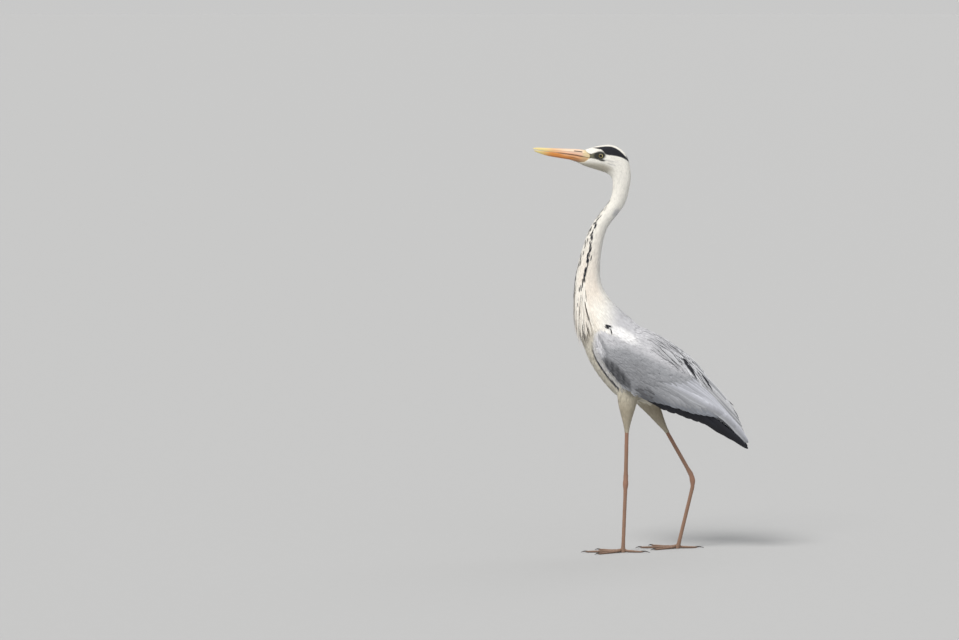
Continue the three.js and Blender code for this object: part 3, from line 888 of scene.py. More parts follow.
def vane_faces(rows, columns):
    """The faces of one vane: its root, its rows of columns and its tip, with one strip underneath."""
    last = rows * columns + 1
    first = 1 + np.arange(columns)
    final = 1 + (rows - 1) * columns + np.arange(columns)
    fan = [(0, b, a) for a, b in zip(first, first[1:])] + [(0, first[0], first[-1])]
    fan += [(a, b, last) for a, b in zip(final, final[1:])] + [(final[-1], final[0], last)]
    strips = []
    for row in range(rows - 1):
        near = 1 + row * columns + np.arange(columns)
        far = near + columns
        strips += [(near[k], near[k + 1], far[k + 1], far[k]) for k in range(columns - 1)]
        strips.append((near[-1], near[0], far[0], far[-1]))
    return np.array(fan), np.array(strips)


def vane_rims(rows, columns):
    """For each vertex of one vane: 1 on its left rim, 2 on its right rim, 3 at its ends, else 0."""
    row = np.zeros(columns, int)
    row[0], row[-1] = 1, 2
    return np.concatenate([[3], np.tile(row, rows), [3]])


def crease_rims(mesh, rims):
    """Sharp shading where the top of a vane meets its underside."""
    a, b = rims[read(mesh.edges, "vertices", 2, np.int32)].T
    sharp = (a > 0) & (b > 0) & ((a == b) | (a == 3) | (b == 3))
    mesh.attributes.new("sharp_edge", "BOOLEAN", "EDGE").data.foreach_set("value", sharp)


def finished(piece, material, slot, *nodes):
    """The piece gets its material, rides the body and stands for the CAD nodes."""
    piece.data.materials.clear()
    piece.data.materials.append(material)
    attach(piece, "root")
    if nodes:
        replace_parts(piece, *nodes)


# ---------------------------------------------------------------- coat of small feathers
def bare(places):
    """True where the face has no feathers: round the eye, between eye and bill, and under the bill."""
    y, z = places[:, 1], places[:, 2]
    from_eye = np.hypot(y - EYE_PLACE[1], z - EYE_PLACE[2])
    return (np.abs(places[:, 0]) > 4) & ((from_eye < 8.2) | (in_face_skin(places) > 0)) & (y < -80)


def coat_size(places, labels):
    """Length, width, spacing and lift of the small feathers at each place, in millimetres."""
    reach, _, angle = on_spine(places)
    y, z = places[:, 1], places[:, 2]
    ridge = angle < 40
    marks = (FACE - 12, EYES, CROWN, NAPE, NECK_BEND, NECK_MIDDLE, NECK_BASE, COLLAR, SHOULDER, BREAST, RUMP)
    length, width, spacing, lift = (np.interp(reach, marks, row) for row in (
        (3.2, 5.0, 8.0, 11, 12, 14, 18, 22, 24, 25, 24),
        (0.8, 0.95, 1.1, 1.15, 1.2, 1.4, 1.9, 2.7, 3.5, 4.2, 4.6),
        (0.85, 0.9, 1.0, 1.08, 1.12, 1.25, 1.5, 2.0, 2.5, 2.8, 3.1),
        (0.4, 0.55, 0.75, 0.85, 0.9, 1.1, 1.5, 1.9, 2.0, 1.8, 1.7),
    ))
    back, wing, thigh = (named(labels, start) for start in ("scap", "wing", "thigh"))
    gap, _, _ = near_hem(places)
    down = ramp(y, -110, 30)
    edge = ramp(gap, 17, 9) * ramp(y, 16, -10)
    low = ramp(z, 370, 275)
    under_quills = ((y > 104) & ~ridge) | ((y > 24) & (gap < 20))
    length = np.where(wing, mix1(14 + 16 * down, 10.5, edge), np.where(back, 28, length))
    width = np.where(wing, mix1(4.6 + 4.0 * down, 3.0, edge), np.where(back, 5, width))
    spacing = np.where(wing, mix1(2.9 + 1.6 * down, 2.0, edge), np.where(back, 3.5, spacing))
    spacing = np.where((wing & under_quills) | (back & (y > 158) & ~ridge), 0, spacing)
    lift = np.where(wing, mix1(1.1 + 0.5 * down, 0.8, edge), np.where(back, 1.7, lift))
    on_thigh = 17 - 7 * low, 3.4 - 1.6 * low, 2.3 - 1.0 * low, 1.7 - 0.9 * low
    elsewhere = length, width, spacing, lift
    return tuple(np.where(thigh, mine, other) for mine, other in zip(on_thigh, elsewhere))


CLOSE = 14.0  # feathers need this much open air in front of the skin


def open_places(places, normals):
    """True where nothing stands close in front of the skin."""
    hits, _ = skin.surface.cast(places + normals * 0.6, normals, CLOSE)
    return np.isnan(hits[:, 0])


def takes_feather(spots, normals, faces, labels):
    """True where a small feather can stand: not on steep or hidden skin, nor on the bare face."""
    side, height = spots[:, 0], spots[:, 2]
    gap, _, _ = near_hem(spots)
    on_wing = named(labels, "wing")
    rim = on_wing & (gap < 18) & (spots[:, 1] < 16)
    sloped = (dot(normals, skin.flat_normals(faces)) < 0.8) & ~rim
    sloped |= on_wing & (normals[:, 2] < -0.35) & ~rim
    sloped |= rim & (normals[:, 0] * np.sign(side) < 0.3)
    under = named(labels, "thigh") & (normals[:, 2] < -0.7) & (height < 290)
    return open_places(spots, normals) & ~bare(spots) & ~under & ~sloped


def small_feathers():
    """The coat over the whole skin, in a few pieces."""
    roots = skin.scatter(lambda places, labels: coat_size(places, labels)[2])
    spots, normals, faces = skin.nearest(roots)
    labels = LABELS.at(spots)
    kept = takes_feather(spots, normals, faces, labels)
    spots, labels = spots[kept], labels[kept]
    length, width, _, lift = coat_size(spots, labels)
    count = len(spots)
    length = length * RNG.uniform(0.85, 1.15, count)
    width = width * RNG.uniform(0.85, 1.15, count)
    lift = lift * RNG.uniform(0.75, 1.2, count)
    turn = RNG.normal(0, math.radians(6), count)
    large = named(labels, "wing") | named(labels, "scap")
    home = np.select(
        [labels == "head", named(labels, "neck"), named(labels, "thigh"), large & (spots[:, 0] > 0), large],
        ["coat_head", np.char.add("coat_", labels), "coat_thighs", "coat_wing_left", "coat_wing_right"],
        "coat_body")
    coats = {name: Coat(name) for name in COATS}
    for name, coat in coats.items():
        _, _, profile, columns, edge = COATS[name]
        steps = STEPS[profile]
        mine = home == name
        lines, uprights, faces = trace(spots[mine], length[mine], steps, labels[mine], turn[mine])
        smooth = straight(lines, uprights)
        lines, uprights, faces = lines[smooth], uprights[smooth], faces[smooth]
        rise = lift[mine][smooth, None] * steps**0.75 - 0.25
        colours = vane_colours(lines, labels[mine][smooth])
        lines = lines + uprights * rise[..., None]
        coat.add(lines, uprights, width[mine][smooth], colours, skin.unwrapped(lines[:, 0], faces), profile,
                 edge=edge, columns=columns)
    return coats


def vane_colours(lines, labels):
    """Colours along each vane: mostly that of its middle, a little that of each place, and its own shade."""
    count, rows = lines.shape[:2]
    everywhere = markings(lines.reshape(-1, 3), np.repeat(labels, rows)).reshape(count, rows, 3)
    middle = everywhere[:, rows // 2][:, None]
    shade = RNG.normal(1, 0.05, (count, 1, 1))
    return (everywhere * 0.4 + middle * 0.6) * np.clip(shade, 0.8, 1.2)


# ---------------------------------------------------------------- long feathers
SILVER = np.array((0.66, 0.67, 0.70))
QUILL_GREY = np.array((0.245, 0.258, 0.29))
TERTIAL_GREY = np.array((0.40, 0.41, 0.45))
# Rows of long wing feathers in side view, from primaries to upper tertials: the ends of the line of their
# roots, the line of their tips, and their looks. layer is how far the lowest feather stands out from the
# folded wing, and rise what each next one adds. The first few of a row are darker, as many as dusky says.
FLIGHT = [
    {"count": 12, "roots": [(2, 357), (112, 336)], "width": 16, "layer": -1.5, "rise": 0.1,
     "tips": [(60, 325), (116, 304), (169, 284), (196, 265), (244, 236)],
     "colour": BLACK, "web": BLACK * 0.7, "edge": 1.3, "dusky": 0.5},
    {"count": 13, "roots": [(-50, 396), (60, 386)], "width": 18, "layer": 0.0, "rise": 0.08,
     "tips": [(16, 350), (60, 340), (84, 333), (140, 315), (176, 310)],
     "colour": GREY * 0.95, "web": QUILL_GREY, "edge": 1.45, "dusky": 5},
    {"count": 9, "roots": [(24, 404), (96, 410)], "width": 19, "layer": 1.0, "rise": 0.12,
     "tips": [(172, 322), (188, 313), (206, 297), (226, 274), (244, 250)],
     "colour": TERTIAL_GREY, "web": GREY, "edge": 1.5, "dusky": 0.5},
    {"count": 9, "roots": [(84, 420), (120, 424)], "width": 11, "layer": 0.8, "rise": 0.1,
     "tips": [(238, 260), (231, 281), (222, 302), (210, 324)],
     "colour": SILVER * 0.7, "web": GREY * 0.9, "edge": 1.4, "dusky": 0.5},
]
TUCK = 2.6  # how far the roots lie under the coverts
# Distances from the bird's middle that are clear of its wing, its neck and its back.
OFF_WING = 150.0
OFF_NECK = 120.0
OVER_BACK = 700.0
# Black vanes that stand for painted shade in the gaps between the plumes of the back, a feather that juts out
# over the rump, and pale plumes at the front of the back: root, tip, width, how far they stand out, and
# colour.
ACCENTS = [
    ((94, 444), (124, 395), 7.5, 5.2, BLACK),
    ((137, 405), (161, 366), 5.0, 4.4, BLACK), ((170, 362), (211, 329), 5.6, 3.4, BLACK),
    ((162, 374), (206, 317), 3.0, 3.8, SILVER),
    ((42, 470), (84, 427), 6.6, 4.0, SILVER * 0.72), ((50, 466), (92, 420), 6.4, 4.2, SILVER * 0.8),
    ((36, 466), (80, 424), 6.4, 3.6, SILVER * 0.68), ((58, 462), (98, 412), 6.0, 4.4, SILVER * 0.76),
]


def cast_inward(surface, sign, points, outside):
    """Where rays from one side of the bird meet a surface at points (y, z), and the normals there."""
    starts = np.column_stack([np.full(len(points), sign * outside), points])
    return surface.cast(starts, np.tile((-sign, 0.0, 0.0), (len(points), 1)))


class Drape:
    """Lays lines that are drawn in side view on the folded wing of one side."""

    def __init__(self, side):
        nodes = [f"{part}_{side}" for part in ("wing", "flight_quills", "scapulars")]
        self.surface = Surface(*joined_shapes(nodes)[:2])
        self.sign = SIDES[side]

    def lay(self, paths, stand):
        """Lines (feather, row, 2) as places (feather, row, 3), stand millimetres off the wing, and normals.
        No line sinks below its own chord, so that feathers bridge the hollows of the wing."""
        count, rows = paths.shape[:2]
        spots, normals = cast_inward(self.surface, self.sign, paths.reshape(-1, 2), OFF_WING)
        across = spots[:, 0].reshape(count, rows)
        normals = normals.reshape(count, rows, 3)
        row = np.arange(rows)
        for k in range(count):
            met = ~np.isnan(across[k])
            across[k] = np.interp(row, row[met], across[k][met])
            for axis in range(3):
                normals[k, :, axis] = np.interp(row, row[met], normals[k, met, axis])
        chord = across[:, :1] + (across[:, -1:] - across[:, :1]) * row / (rows - 1)
        across = eased(self.sign * np.maximum(self.sign * across, self.sign * chord))
        normals = unit(normals + normals.mean(1, keepdims=True) + (0.6 * self.sign, 0, 0))
        places = np.concatenate([across[..., None], paths], axis=2)
        return places + normals * np.broadcast_to(stand, across.shape)[..., None], normals


def bows(roots, tips, steps, bow):
    """Lines in side view from roots to tips, whose middles bow upwards."""
    t = steps[None, :, None]
    ahead = tips - roots
    upward = unit(np.column_stack([-ahead[:, 1], ahead[:, 0]]))
    return roots[:, None] + ahead[:, None] * t + upward[:, None] * 4 * bow * t * (1 - t)


def on_map_at(places):
    """Where the nearest places of the skin are on its unwrap."""
    spots, _, faces = skin.nearest(places)
    return skin.unwrapped(spots, faces)


def flight_feathers(side):
    """The rows of long wing feathers of one side, and the accents over them."""
    coat = Coat(f"flight_feathers_{side}")
    drape = Drape(side)
    steps = STEPS["quill"]
    for row in FLIGHT:
        count = row["count"]
        share = np.linspace(0, 1, count)
        first, last = (np.array(end, float) for end in row["roots"])
        roots = mix(first, last, share) + RNG.normal(0, 1.2, (count, 2))
        tips = smooth_line(np.array(row["tips"], float), count)[0] + RNG.normal(0, 0.8, (count, 2))
        paths = bows(roots, tips, steps, RNG.uniform(2, 5, count)[:, None, None])
        stand = row["layer"] + row["rise"] * np.arange(count)[:, None] + 0.5 * steps
        stand = stand - TUCK * (1 - steps) ** 2
        lines, normals = drape.lay(paths, stand)
        shade = RNG.normal(1, 0.06, (count, 1))
        shade = shade * (1 - 0.65 * np.clip(1 - (np.arange(count) + 0.5) / row["dusky"], 0, 1))[:, None]
        upper, lower = row["colour"] * shade, row["web"] * shade
        if side == "right":
            upper, lower = lower, upper
        widths = row["width"] * RNG.uniform(0.94, 1.06, count)
        coat.add(lines, normals, widths, upper, on_map_at(lines[:, 0]), "quill",
                 camber=0.07, columns=7, edge=row["edge"], web=lower)
    roots, tips, widths, stand, colours = (np.array(column, float) for column in zip(*ACCENTS))
    steps = STEPS["lance"]
    lines, normals = drape.lay(bows(roots, tips, steps, 2.0), stand[:, None] * (0.5 + 0.5 * steps))
    coat.add(lines, normals, widths, colours, on_map_at(lines[:, 0]), "lance", camber=0.1, columns=5)
    return coat


def tail_feathers():
    """Twelve tail feathers, stacked with the middle ones on top."""
    coat = Coat("tail_feathers")
    count = 12
    steps = STEPS["quill"]
    spread = np.linspace(-1, 1, count)
    middle, _ = smooth_line(np.array([(146, 329), (188, 303), (224, 275), (246, 249)], float), 60)
    even = np.linspace(0, 1, len(middle))
    path = np.column_stack([np.interp(steps, even, middle[:, k]) for k in range(2)])
    lines = np.empty((count, len(steps), 3))
    lines[..., 0] = spread[:, None] * (4 + 5.5 * steps)
    lines[..., 1:] = path
    lines[..., 2] += 3.4 - 5.4 * np.abs(spread)[:, None]
    lines[..., 1] -= (2 + 5 * spread[:, None] ** 2) * steps
    roll = np.column_stack([0.42 * spread, np.full(count, 0.58), np.full(count, 0.80)])
    normals = np.repeat(unit(roll)[:, None], len(steps), axis=1)
    colours = np.tile(GREY * 0.85, (count, 1)) * RNG.normal(1, 0.05, (count, 1))
    coat.add(lines, normals, np.full(count, 17.0), colours, on_map_at(lines[:, 0]), "quill",
             camber=0.08, columns=7, edge=1.5)
    return coat


def plume_roots(spacing, wanted):
    """Spaced places on the skin where wanted(places, labels) is true."""
    return skin.scatter(lambda places, labels: np.where(wanted(places, labels), spacing, 0))


def plume_turns(count):
    """How far each plume turns off the flow."""
    return RNG.normal(0, math.radians(4), count)


def scapular_plumes():
    """Long silvery lanceolate plumes over the back and the top of the folded wings."""
    def on_back(places, labels):
        angle = on_spine(places)[2]
        y = places[:, 1]
        large = named(labels, "scap") | named(labels, "wing")
        middle = (labels == "trunk") & (y > 30) & (angle < 40)
        on_top = angle < np.interp(y, (0, 60, 100, 150, 200), (50, 38, 30, 30, 30))
        return (large | middle) & on_top & (y > -12) & (y < 200)

    roots = plume_roots(5.8, on_back)
    count = len(roots)
    labels = np.full(count, "scapulars")
    usual = np.interp(roots[:, 1], (-12, 40, 95, 150, 200), (44, 54, 56, 44, 36))
    lengths = RNG.uniform(0.75, 1.2, count) * usual
    steps = STEPS["lance"]
    lines, normals, faces = trace(roots, lengths, steps, labels, plume_turns(count), hold=0.7)
    rear = ramp(roots[:, 1], 110, 150)[:, None]
    rise = RNG.uniform(2.6, 4.4, (count, 1)) * (1 - 0.65 * rear) * steps**0.8 + 0.6
    silvery = ramp(roots[:, 1], 40, 85)
    ground = mix(mix(LILAC, GREY, 0.3), GREY * 1.1, silvery)
    tone = mix(ground, SILVER * 1.1, RNG.uniform(0.2, 1, count) * silvery)
    colours = mix(tone[:, None], SILVER * 1.2, 0.7 * steps * silvery[:, None])
    # The narrow dark plumes are painted shade in the gaps between the plumes.
    dark = (RNG.random(count) < 0.2) & (silvery > 0.5)
    colours = np.where(dark[:, None, None], SLATE * 0.7, colours)
    kept = straight(lines, normals, 0.9)
    coat = Coat("scapular_plumes")
    widths = RNG.uniform(3.6, 6.2, count) * np.where(dark, 0.5, 1)
    coat.add((lines + normals * rise[..., None])[kept], normals[kept], widths[kept],
             colours[kept], skin.unwrapped(roots, faces)[kept], "lance", camber=0.12, columns=5, edge=0.8)
    ridge_plumes(coat)
    return coat


def ridge_plumes(coat):
    """Plumes down the middle of the back, over the cleft between the wings."""
    count = 76
    steps = STEPS["lance"]
    x = (RNG.normal(0, 1, count) * np.tile((1.2, 5.0), count // 2))[:, None] * (1 + 0.5 * steps)
    y = np.linspace(38, 142, count)[:, None] + RNG.uniform(26, 38, count)[:, None] * steps
    above = np.stack([x, y, np.full_like(y, OVER_BACK)], -1).reshape(-1, 3)
    spots, _ = skin.surface.cast(above, np.tile(-UP, (len(above), 1)))
    z = spots[:, 2].reshape(y.shape)
    met = ~np.isnan(z).any(1)
    x, y, z = x[met], y[met], z[met]
    z = eased(np.maximum(z, z[:, :1] + (z[:, -1:] - z[:, :1]) * steps))
    normals = unit(np.stack([0.07 * x, np.full_like(y, 0.6), np.full_like(y, 0.8)], -1))
    lines = np.stack([x, y, z], -1) + normals * (1.6 + 1.6 * steps)[:, None]
    tone = mix(np.tile(GREY * 1.1, (len(x), 1)), SILVER * 1.1, RNG.uniform(0.2, 0.9, len(x)))
    coat.add(lines, normals, RNG.uniform(4.4, 6.6, len(x)), tone, on_map_at(lines[:, 0]), "lance",
             camber=0.12, columns=5, edge=0.8)


def hung(lines, front):
    """The lower halves of the foremost plumes hang free of the breast instead of following it back."""
    held = lines.shape[1] // 2
    share = 0.55 * ramp(front, 112, 150)[:, None]
    lines = lines.copy()
    lines[:, held:, 1] -= (lines[:, held:, 1] - lines[:, held:held + 1, 1]) * share
    return lines


def breast_plumes():
    """Long narrow white plumes, a few of them dark, that hang from the foot of the neck over the breast."""
    def on_front(places, _):
        _, _, angle = on_spine(places)
        return (angle > 108) & (places[:, 2] > 545) & (places[:, 2] < 628)

    roots = plume_roots(3.6, on_front)
    count = len(roots)
    labels = np.full(count, "trunk")
    front = on_spine(roots)[2]
    near, far = streak_angles(roots[:, 2])
    turn = np.degrees(np.arctan2(roots[:, 0], -(roots[:, 1] + 100)))
    in_row = np.minimum(np.abs(turn - near), np.abs(turn - far)) < 10
    streaked = in_row & (RNG.random(count) < 0.42)
    fall = np.interp(roots[:, 2], (545, 628), (0.62, 1.0)) * np.interp(front, (108, 165), (0.62, 1.0))
    lengths = RNG.uniform(104, 142, count) * fall
    steps = STEPS["lance"]
    lines, normals, faces = trace(roots, lengths, steps, labels, plume_turns(count), hold=0.85)
    lines = hung(lines, front)
    rise = RNG.uniform(2.5, 6.0, (count, 1)) * steps**1.2 + 0.8
    colours = mix(np.tile(WHITE, (count, 1)), CREAM, RNG.uniform(0, 0.6, count))
    colours = np.where(streaked[:, None], STREAK_BROWN, colours)
    widths = np.where(streaked, 2.2, RNG.uniform(2.0, 3.6, count))
    kept = straight(lines, normals)
    coat = Coat("breast_plume_vanes")
    coat.add((lines + normals * rise[..., None])[kept], normals[kept], widths[kept], colours[kept],
             skin.unwrapped(roots, faces)[kept], "lance", camber=0.15, columns=3)
    return coat


def neck_places(heights, angles):
    """Places on the skin of the neck at heights and at angles from its front, towards the left side."""
    order = np.argsort(SPINE_LINE[:, 1])
    middle = np.interp(heights, SPINE_LINE[order, 1], SPINE_LINE[order, 0])
    turns, still = np.radians(angles), np.zeros(len(heights))
    outward = np.column_stack([np.sin(turns), -np.cos(turns), still])
    axis = np.column_stack([still, middle, heights])
    spots, _ = skin.surface.cast(axis + outward * OFF_NECK, -outward)
    return spots[~np.isnan(spots[:, 0])]


def neck_streaks():
    """Two rows of black dashes down the foreneck, fine at the top and long below."""
    coat = Coat("neck_streaks")
    heights = [802.0]
    while heights[-1] > 505:
        heights.append(heights[-1] - np.interp(heights[-1], (520, 700, 802), (7.5, 6.2, 5.0)))
    heights = np.repeat(heights, 3) + RNG.normal(0, 1.8, len(heights) * 3)
    near, far = streak_angles(heights)
    row = np.where(RNG.random(len(heights)) < 0.58, near, far)
    spread = np.interp(heights, (520, 640, 800), (5, 5, 7))
    roots = neck_places(heights, row + RNG.normal(0, 1, len(heights)) * spread)
    count = len(roots)
    labels = np.full(count, "neck")
    size = np.interp(roots[:, 2], (520, 640, 750, 802), (1, 0.8, 0.55, 0.35)) * RNG.uniform(0.7, 1.2, count)
    steps = STEPS["soft"]
    lines, normals, faces = trace(roots, 17 * size + 1, steps, labels, plume_turns(count))
    rise = np.interp(roots[:, 2], (520, 640, 802), (3.4, 2.3, 1.5))[:, None] * (0.6 + 0.4 * steps) + 0.1
    colours = np.tile(BLACK * 1.4, (count, 1))
    coat.add(lines + normals * rise[..., None], normals, 2.2 * size + 0.5, colours,
             skin.unwrapped(roots, faces), "soft", camber=0.12)
    return coat


def shoulder_tufts():
    """A short black tuft in front of each shoulder, with a thin streak hanging from it."""
    def between(*limits):
        """Random pairs (y, z): the lowest and highest y, the lowest and highest z, and how many."""
        y_low, y_high, z_low, z_high, many = limits
        return np.column_stack([RNG.uniform(y_low, y_high, many), RNG.uniform(z_low, z_high, many)])

    coat = Coat("shoulder_tufts")
    steps = STEPS["soft"]
    count, hanging = 16, 4
    for sign in SIDES.values():
        roots = between(-85, -77, 517, 522, count)
        tips = roots + between(9, 13, -7, -3, count)
        roots[-hanging:] = between(-72, -70, 511, 514, hanging)
        tips[-hanging:] = roots[-hanging:] + between(3, 5, -14, -11, hanging)
        paths = roots[:, None] + (tips - roots)[:, None] * steps[:, None]
        places, _ = cast_inward(skin.surface, sign, paths.reshape(-1, 2), OFF_NECK)
        places, normals, faces = skin.nearest(places)
        lines = eased(places.reshape(count, -1, 3))
        normals = normals.reshape(count, -1, 3)
        on_map = skin.unwrapped(lines[:, 0], faces[::len(steps)])
        coat.add(lines + normals * (2.2 + 0.8 * steps)[:, None], normals, RNG.uniform(1.2, 2.2, count),
                 np.tile(BLACK, (count, 1)), on_map, "soft")
    return coat


def chin_feathers():
    """Small feathers that cover the lower side of the lower mandible's base."""
    coat = Coat("chin_feathers")
    count = 520
    steps = STEPS["hair"]
    start = -163 + 31 * RNG.random(count) ** 0.7
    rings = LOWER_MANDIBLE[::-1]

    def horn_at(y):
        """The upper edge, the lower edge and the half width of the lower mandible at y."""
        return (np.interp(y, rings[:, 2], rings[:, k]) for k in (1, 3, 4))

    high, low, _ = horn_at(start)
    y = start[:, None] + RNG.uniform(6, 9, (count, 1)) * steps
    least = np.clip((high - np.interp(start, CHIN_Y, CHIN_TOP)) / (high - low), 0, 1)
    dome = (least + (1 - least) * RNG.random(count) ** 0.6)[:, None] * np.ones(len(steps))
    lean = dome ** (1 / DOME)
    sign = np.where(RNG.random(count) < 0.5, 1, -1)[:, None]
    out = sign * np.sqrt(np.maximum(1 - lean**2, 0))
    normals = unit(np.stack([out, np.zeros_like(out), -lean], -1))
    high, low, side = horn_at(y)
    lines = np.stack([out * side, y, high - dome * (high - low)], -1)
    # The chin feathers are white in painted shade.
    coat.add(lines + normals * (0.1 + 0.6 * steps)[:, None], normals, RNG.uniform(0.9, 1.4, count),
             PAINTED_SHADE_WHITE * RNG.uniform(0.85, 1.15, (count, 1)), on_map_at(lines[:, 0]), "hair")
    return coat


def crest_plumes():
    """Thin black plumes, two of them long, that hang from the hind crown down the back of the neck."""
    coat = Coat("crest_plumes")
    roots = np.array([(-5, -35, 900), (-10, -38, 899), (-7, -33, 897), (-9, -34, 897)], float)
    lengths = np.array((196, 184, 120, 96), float)
    turns = np.radians((5.0, 6.5, 7.0, 6.0))
    count, rows = len(roots), 30
    steps = np.linspace(0, 1, rows)
    lines, normals, faces = trace(roots, lengths, steps, np.full(count, "neck"), turns, hold=0.75)
    lines = lines + normals * (1.2 + 1.4 * steps**2)[:, None]
    pick = STEPS["lance"]
    at = np.interp(pick, steps, np.arange(rows))
    low = np.floor(at).astype(int)
    high = np.minimum(low + 1, rows - 1)
    share = np.broadcast_to(at - low, (count, len(pick)))
    lines = mix(lines[:, low], lines[:, high], share)
    normals = unit(mix(normals[:, low], normals[:, high], share))
    coat.add(lines, normals, np.array((3.0, 2.8, 3.2, 3.2)), np.tile(BLACK, (count, 1)),
             skin.unwrapped(roots, faces), "lance", columns=5)
    return coat


# ---------------------------------------------------------------- bill
BILL_RINGS = 200
BILL_SIDES = 60
CHIN_Y = (-164, -150, -140, -130)
CHIN_TOP = (893.5, 890.5, 889.5, 889)  # the upper edge of the feathers on the lower mandible at places y
NOSTRIL = 0.67  # how far up the mandible the nostril is
NOSTRIL_HALF = 0.075  # half the height of the nostril, as a share of the mandible's
HORN_TIP = np.array((0.74, 0.61, 0.25))
HORN_ORANGE = np.array((0.72, 0.27, 0.055))
HORN_PINK = np.array((0.70, 0.46, 0.34))
HORN_RIDGE = np.array((0.22, 0.155, 0.095))
HORN_CREAM = np.array((0.66, 0.53, 0.31))
HORN_BROWN = np.array((0.40, 0.22, 0.11))
HORN_GAPE = np.array((0.10, 0.032, 0.018))


def loft(rings, flipped):
    """A closed loft through rings (ring, side, 3): its places, and the faces of its walls and caps."""
    count, sides = rings.shape[:2]
    places = np.vstack([rings.reshape(-1, 3), rings[:1].mean(1), rings[-1:].mean(1)])
    ring = np.arange(count - 1)[:, None] * sides
    here, ahead = np.arange(sides), (np.arange(sides) + 1) % sides
    walls = np.stack([ring + here, ring + sides + here, ring + sides + ahead, ring + ahead], axis=-1)
    last = (count - 1) * sides
    near_cap = np.column_stack([np.full(sides, count * sides), here, ahead])
    far_cap = np.column_stack([np.full(sides, count * sides + 1), last + ahead, last + here])
    faces = [walls.reshape(-1, 4), np.vstack([near_cap, far_cap])]
    return places, [group[:, ::-1] for group in faces] if flipped else faces


def mandible(rings, dome_sign):
    """A mandible, domed outside and flat where the two meet, with its nostril groove and cutting edge."""
    lines, _ = smooth_line(rings, BILL_RINGS)
    back, front, side = lines[:, 0:2], lines[:, 2:4], np.maximum(lines[:, 4], 0.4)
    centre, up = (back + front) / 2, (back - front) / 2
    angles = np.linspace(0, 2 * math.pi, BILL_SIDES, endpoint=False)
    dome = np.maximum(dome_sign * np.cos(angles), 0) ** DOME
    roof = dome * 2 - 1
    out = np.sin(angles)
    y = centre[:, :1]
    if dome_sign > 0:
        groove = np.exp(-((dome - 0.42) / 0.1) ** 2) * band(y, -205, -121, 9) * 0.085
        nostril = ramp(np.abs(dome - NOSTRIL) / NOSTRIL_HALF, 1.5, 0.5) * band(y, -153, -134, 2) * 0.12
        pinch = 1 - groove - nostril
    else:
        pinch = 1 - np.exp(-((dome - 0.5) / 0.1) ** 2) * band(y, -205, -142, 12) * 0.08
    places = np.empty((BILL_RINGS, BILL_SIDES, 3))
    places[..., 0] = side[:, None] * out * pinch
    places[..., 1] = centre[:, :1] + up[:, :1] * dome_sign * roof
    places[..., 2] = centre[:, 1:] + up[:, 1:] * dome_sign * roof
    return places, np.broadcast_to(dome, places.shape[:2])


def upper_colour(places, dome):
    """The colour of the upper mandible. dome runs from 0 at the cutting edge to 1 on the ridge."""
    y = places[..., 1]
    streak = np.exp(-((dome - 0.46) / 0.1) ** 2) * band(y, -206, -136, 14)
    edge = ramp(dome, 0.13, 0.05) * band(y, -190, -134, 8)
    slit = ramp(np.abs(dome - NOSTRIL) / NOSTRIL_HALF, 1.25, 0.75) * band(y, -153, -134, 1.5)
    return painted(
        HORN_PINK,
        # A painted highlight: the mandible paler up towards its ridge.
        (HORN_PINK * (1.15, 1.28, 1.3), ramp(dome, 0.35, 0.7)),
        (HORN_ORANGE, ramp(dome, 0.35, 0.1) * 0.45 * ramp(y, -128, -150)),
        (HORN_ORANGE * (1.0, 1.35, 2.0), ramp(y, -160, -205) * 0.6),
        (HORN_TIP, ramp(y, -192, -226)),
        (HORN_RIDGE * 1.3, ramp(dome, 0.86, 0.97) * band(y, -180, -126, 10) * 0.25),
        (HORN_CREAM, ramp(y, -138, -127)),
        (HORN_RIDGE, streak * 0.25),
        (HORN_GAPE, edge * 0.8),
        (HORN_RIDGE * 0.12, slit),
    )


def lower_colour(places, dome):
    """The colour of the lower mandible. dome runs from 0 at the cutting edge to 1 underneath."""
    y = places[..., 1]
    pale = band(dome, 0.12, 0.36, 0.07) * band(y, -180, -136, 8)
    groove = band(dome, 0.42, 0.52, 0.04) * band(y, -164, -146, 4)
    return painted(
        HORN_ORANGE,
        (HORN_TIP, ramp(y, -200, -236)),
        (HORN_ORANGE * (0.6, 0.5, 0.5), ramp(dome, 0.45, 0.9) * ramp(y, -225, -200) * 0.75),
        (HORN_BROWN, ramp(y, -162, -146) * ramp(dome, 0.3, 0.6) * 0.85),
        (HORN_PINK * (1.1, 1.0, 0.8), pale * 0.7),
        (mix(HORN_BROWN, HORN_CREAM, 0.45), ramp(y, -146, -130) * 0.85),
        (HORN_GAPE, groove * 0.7),
        (HORN_GAPE, ramp(dome, 0.08, 0.03) * band(y, -190, -134, 8) * 0.8),
    )


def make_bill():
    halves = ("bill_upper", UPPER_MANDIBLE, 1, upper_colour), ("bill_lower", LOWER_MANDIBLE, -1, lower_colour)
    for name, rings, sign, colour in halves:
        shape, dome = mandible(rings, sign)
        piece = new_object(f"{name}_horn", *loft(shape, sign < 0))
        tints = colour(shape, dome).reshape(-1, 3)
        add_tint(piece.data, np.vstack([tints, tints[:1], tints[-1:]]))
        finished(piece, HORN, "bill", name)


# ---------------------------------------------------------------- eyes
EYE_AXIS = unit(np.array((0.97, -0.2, -0.06)))
PUPIL, IRIS, OPENING, LID_RADIUS = 3.25, 4.75, 4.9, 9.0  # radii from the eye's axis
LID_DEPTH = 1.6


def eye_frame(sign):
    """The eye's own axes: out of the head, forward, and up."""
    out = EYE_AXIS * (sign, 1, 1)
    ahead = flatten(np.array((0.0, -1.0, 0.0)), out)
    up = flatten(UP, out)
    return out, ahead, unit(up - ahead * dot(up, ahead))


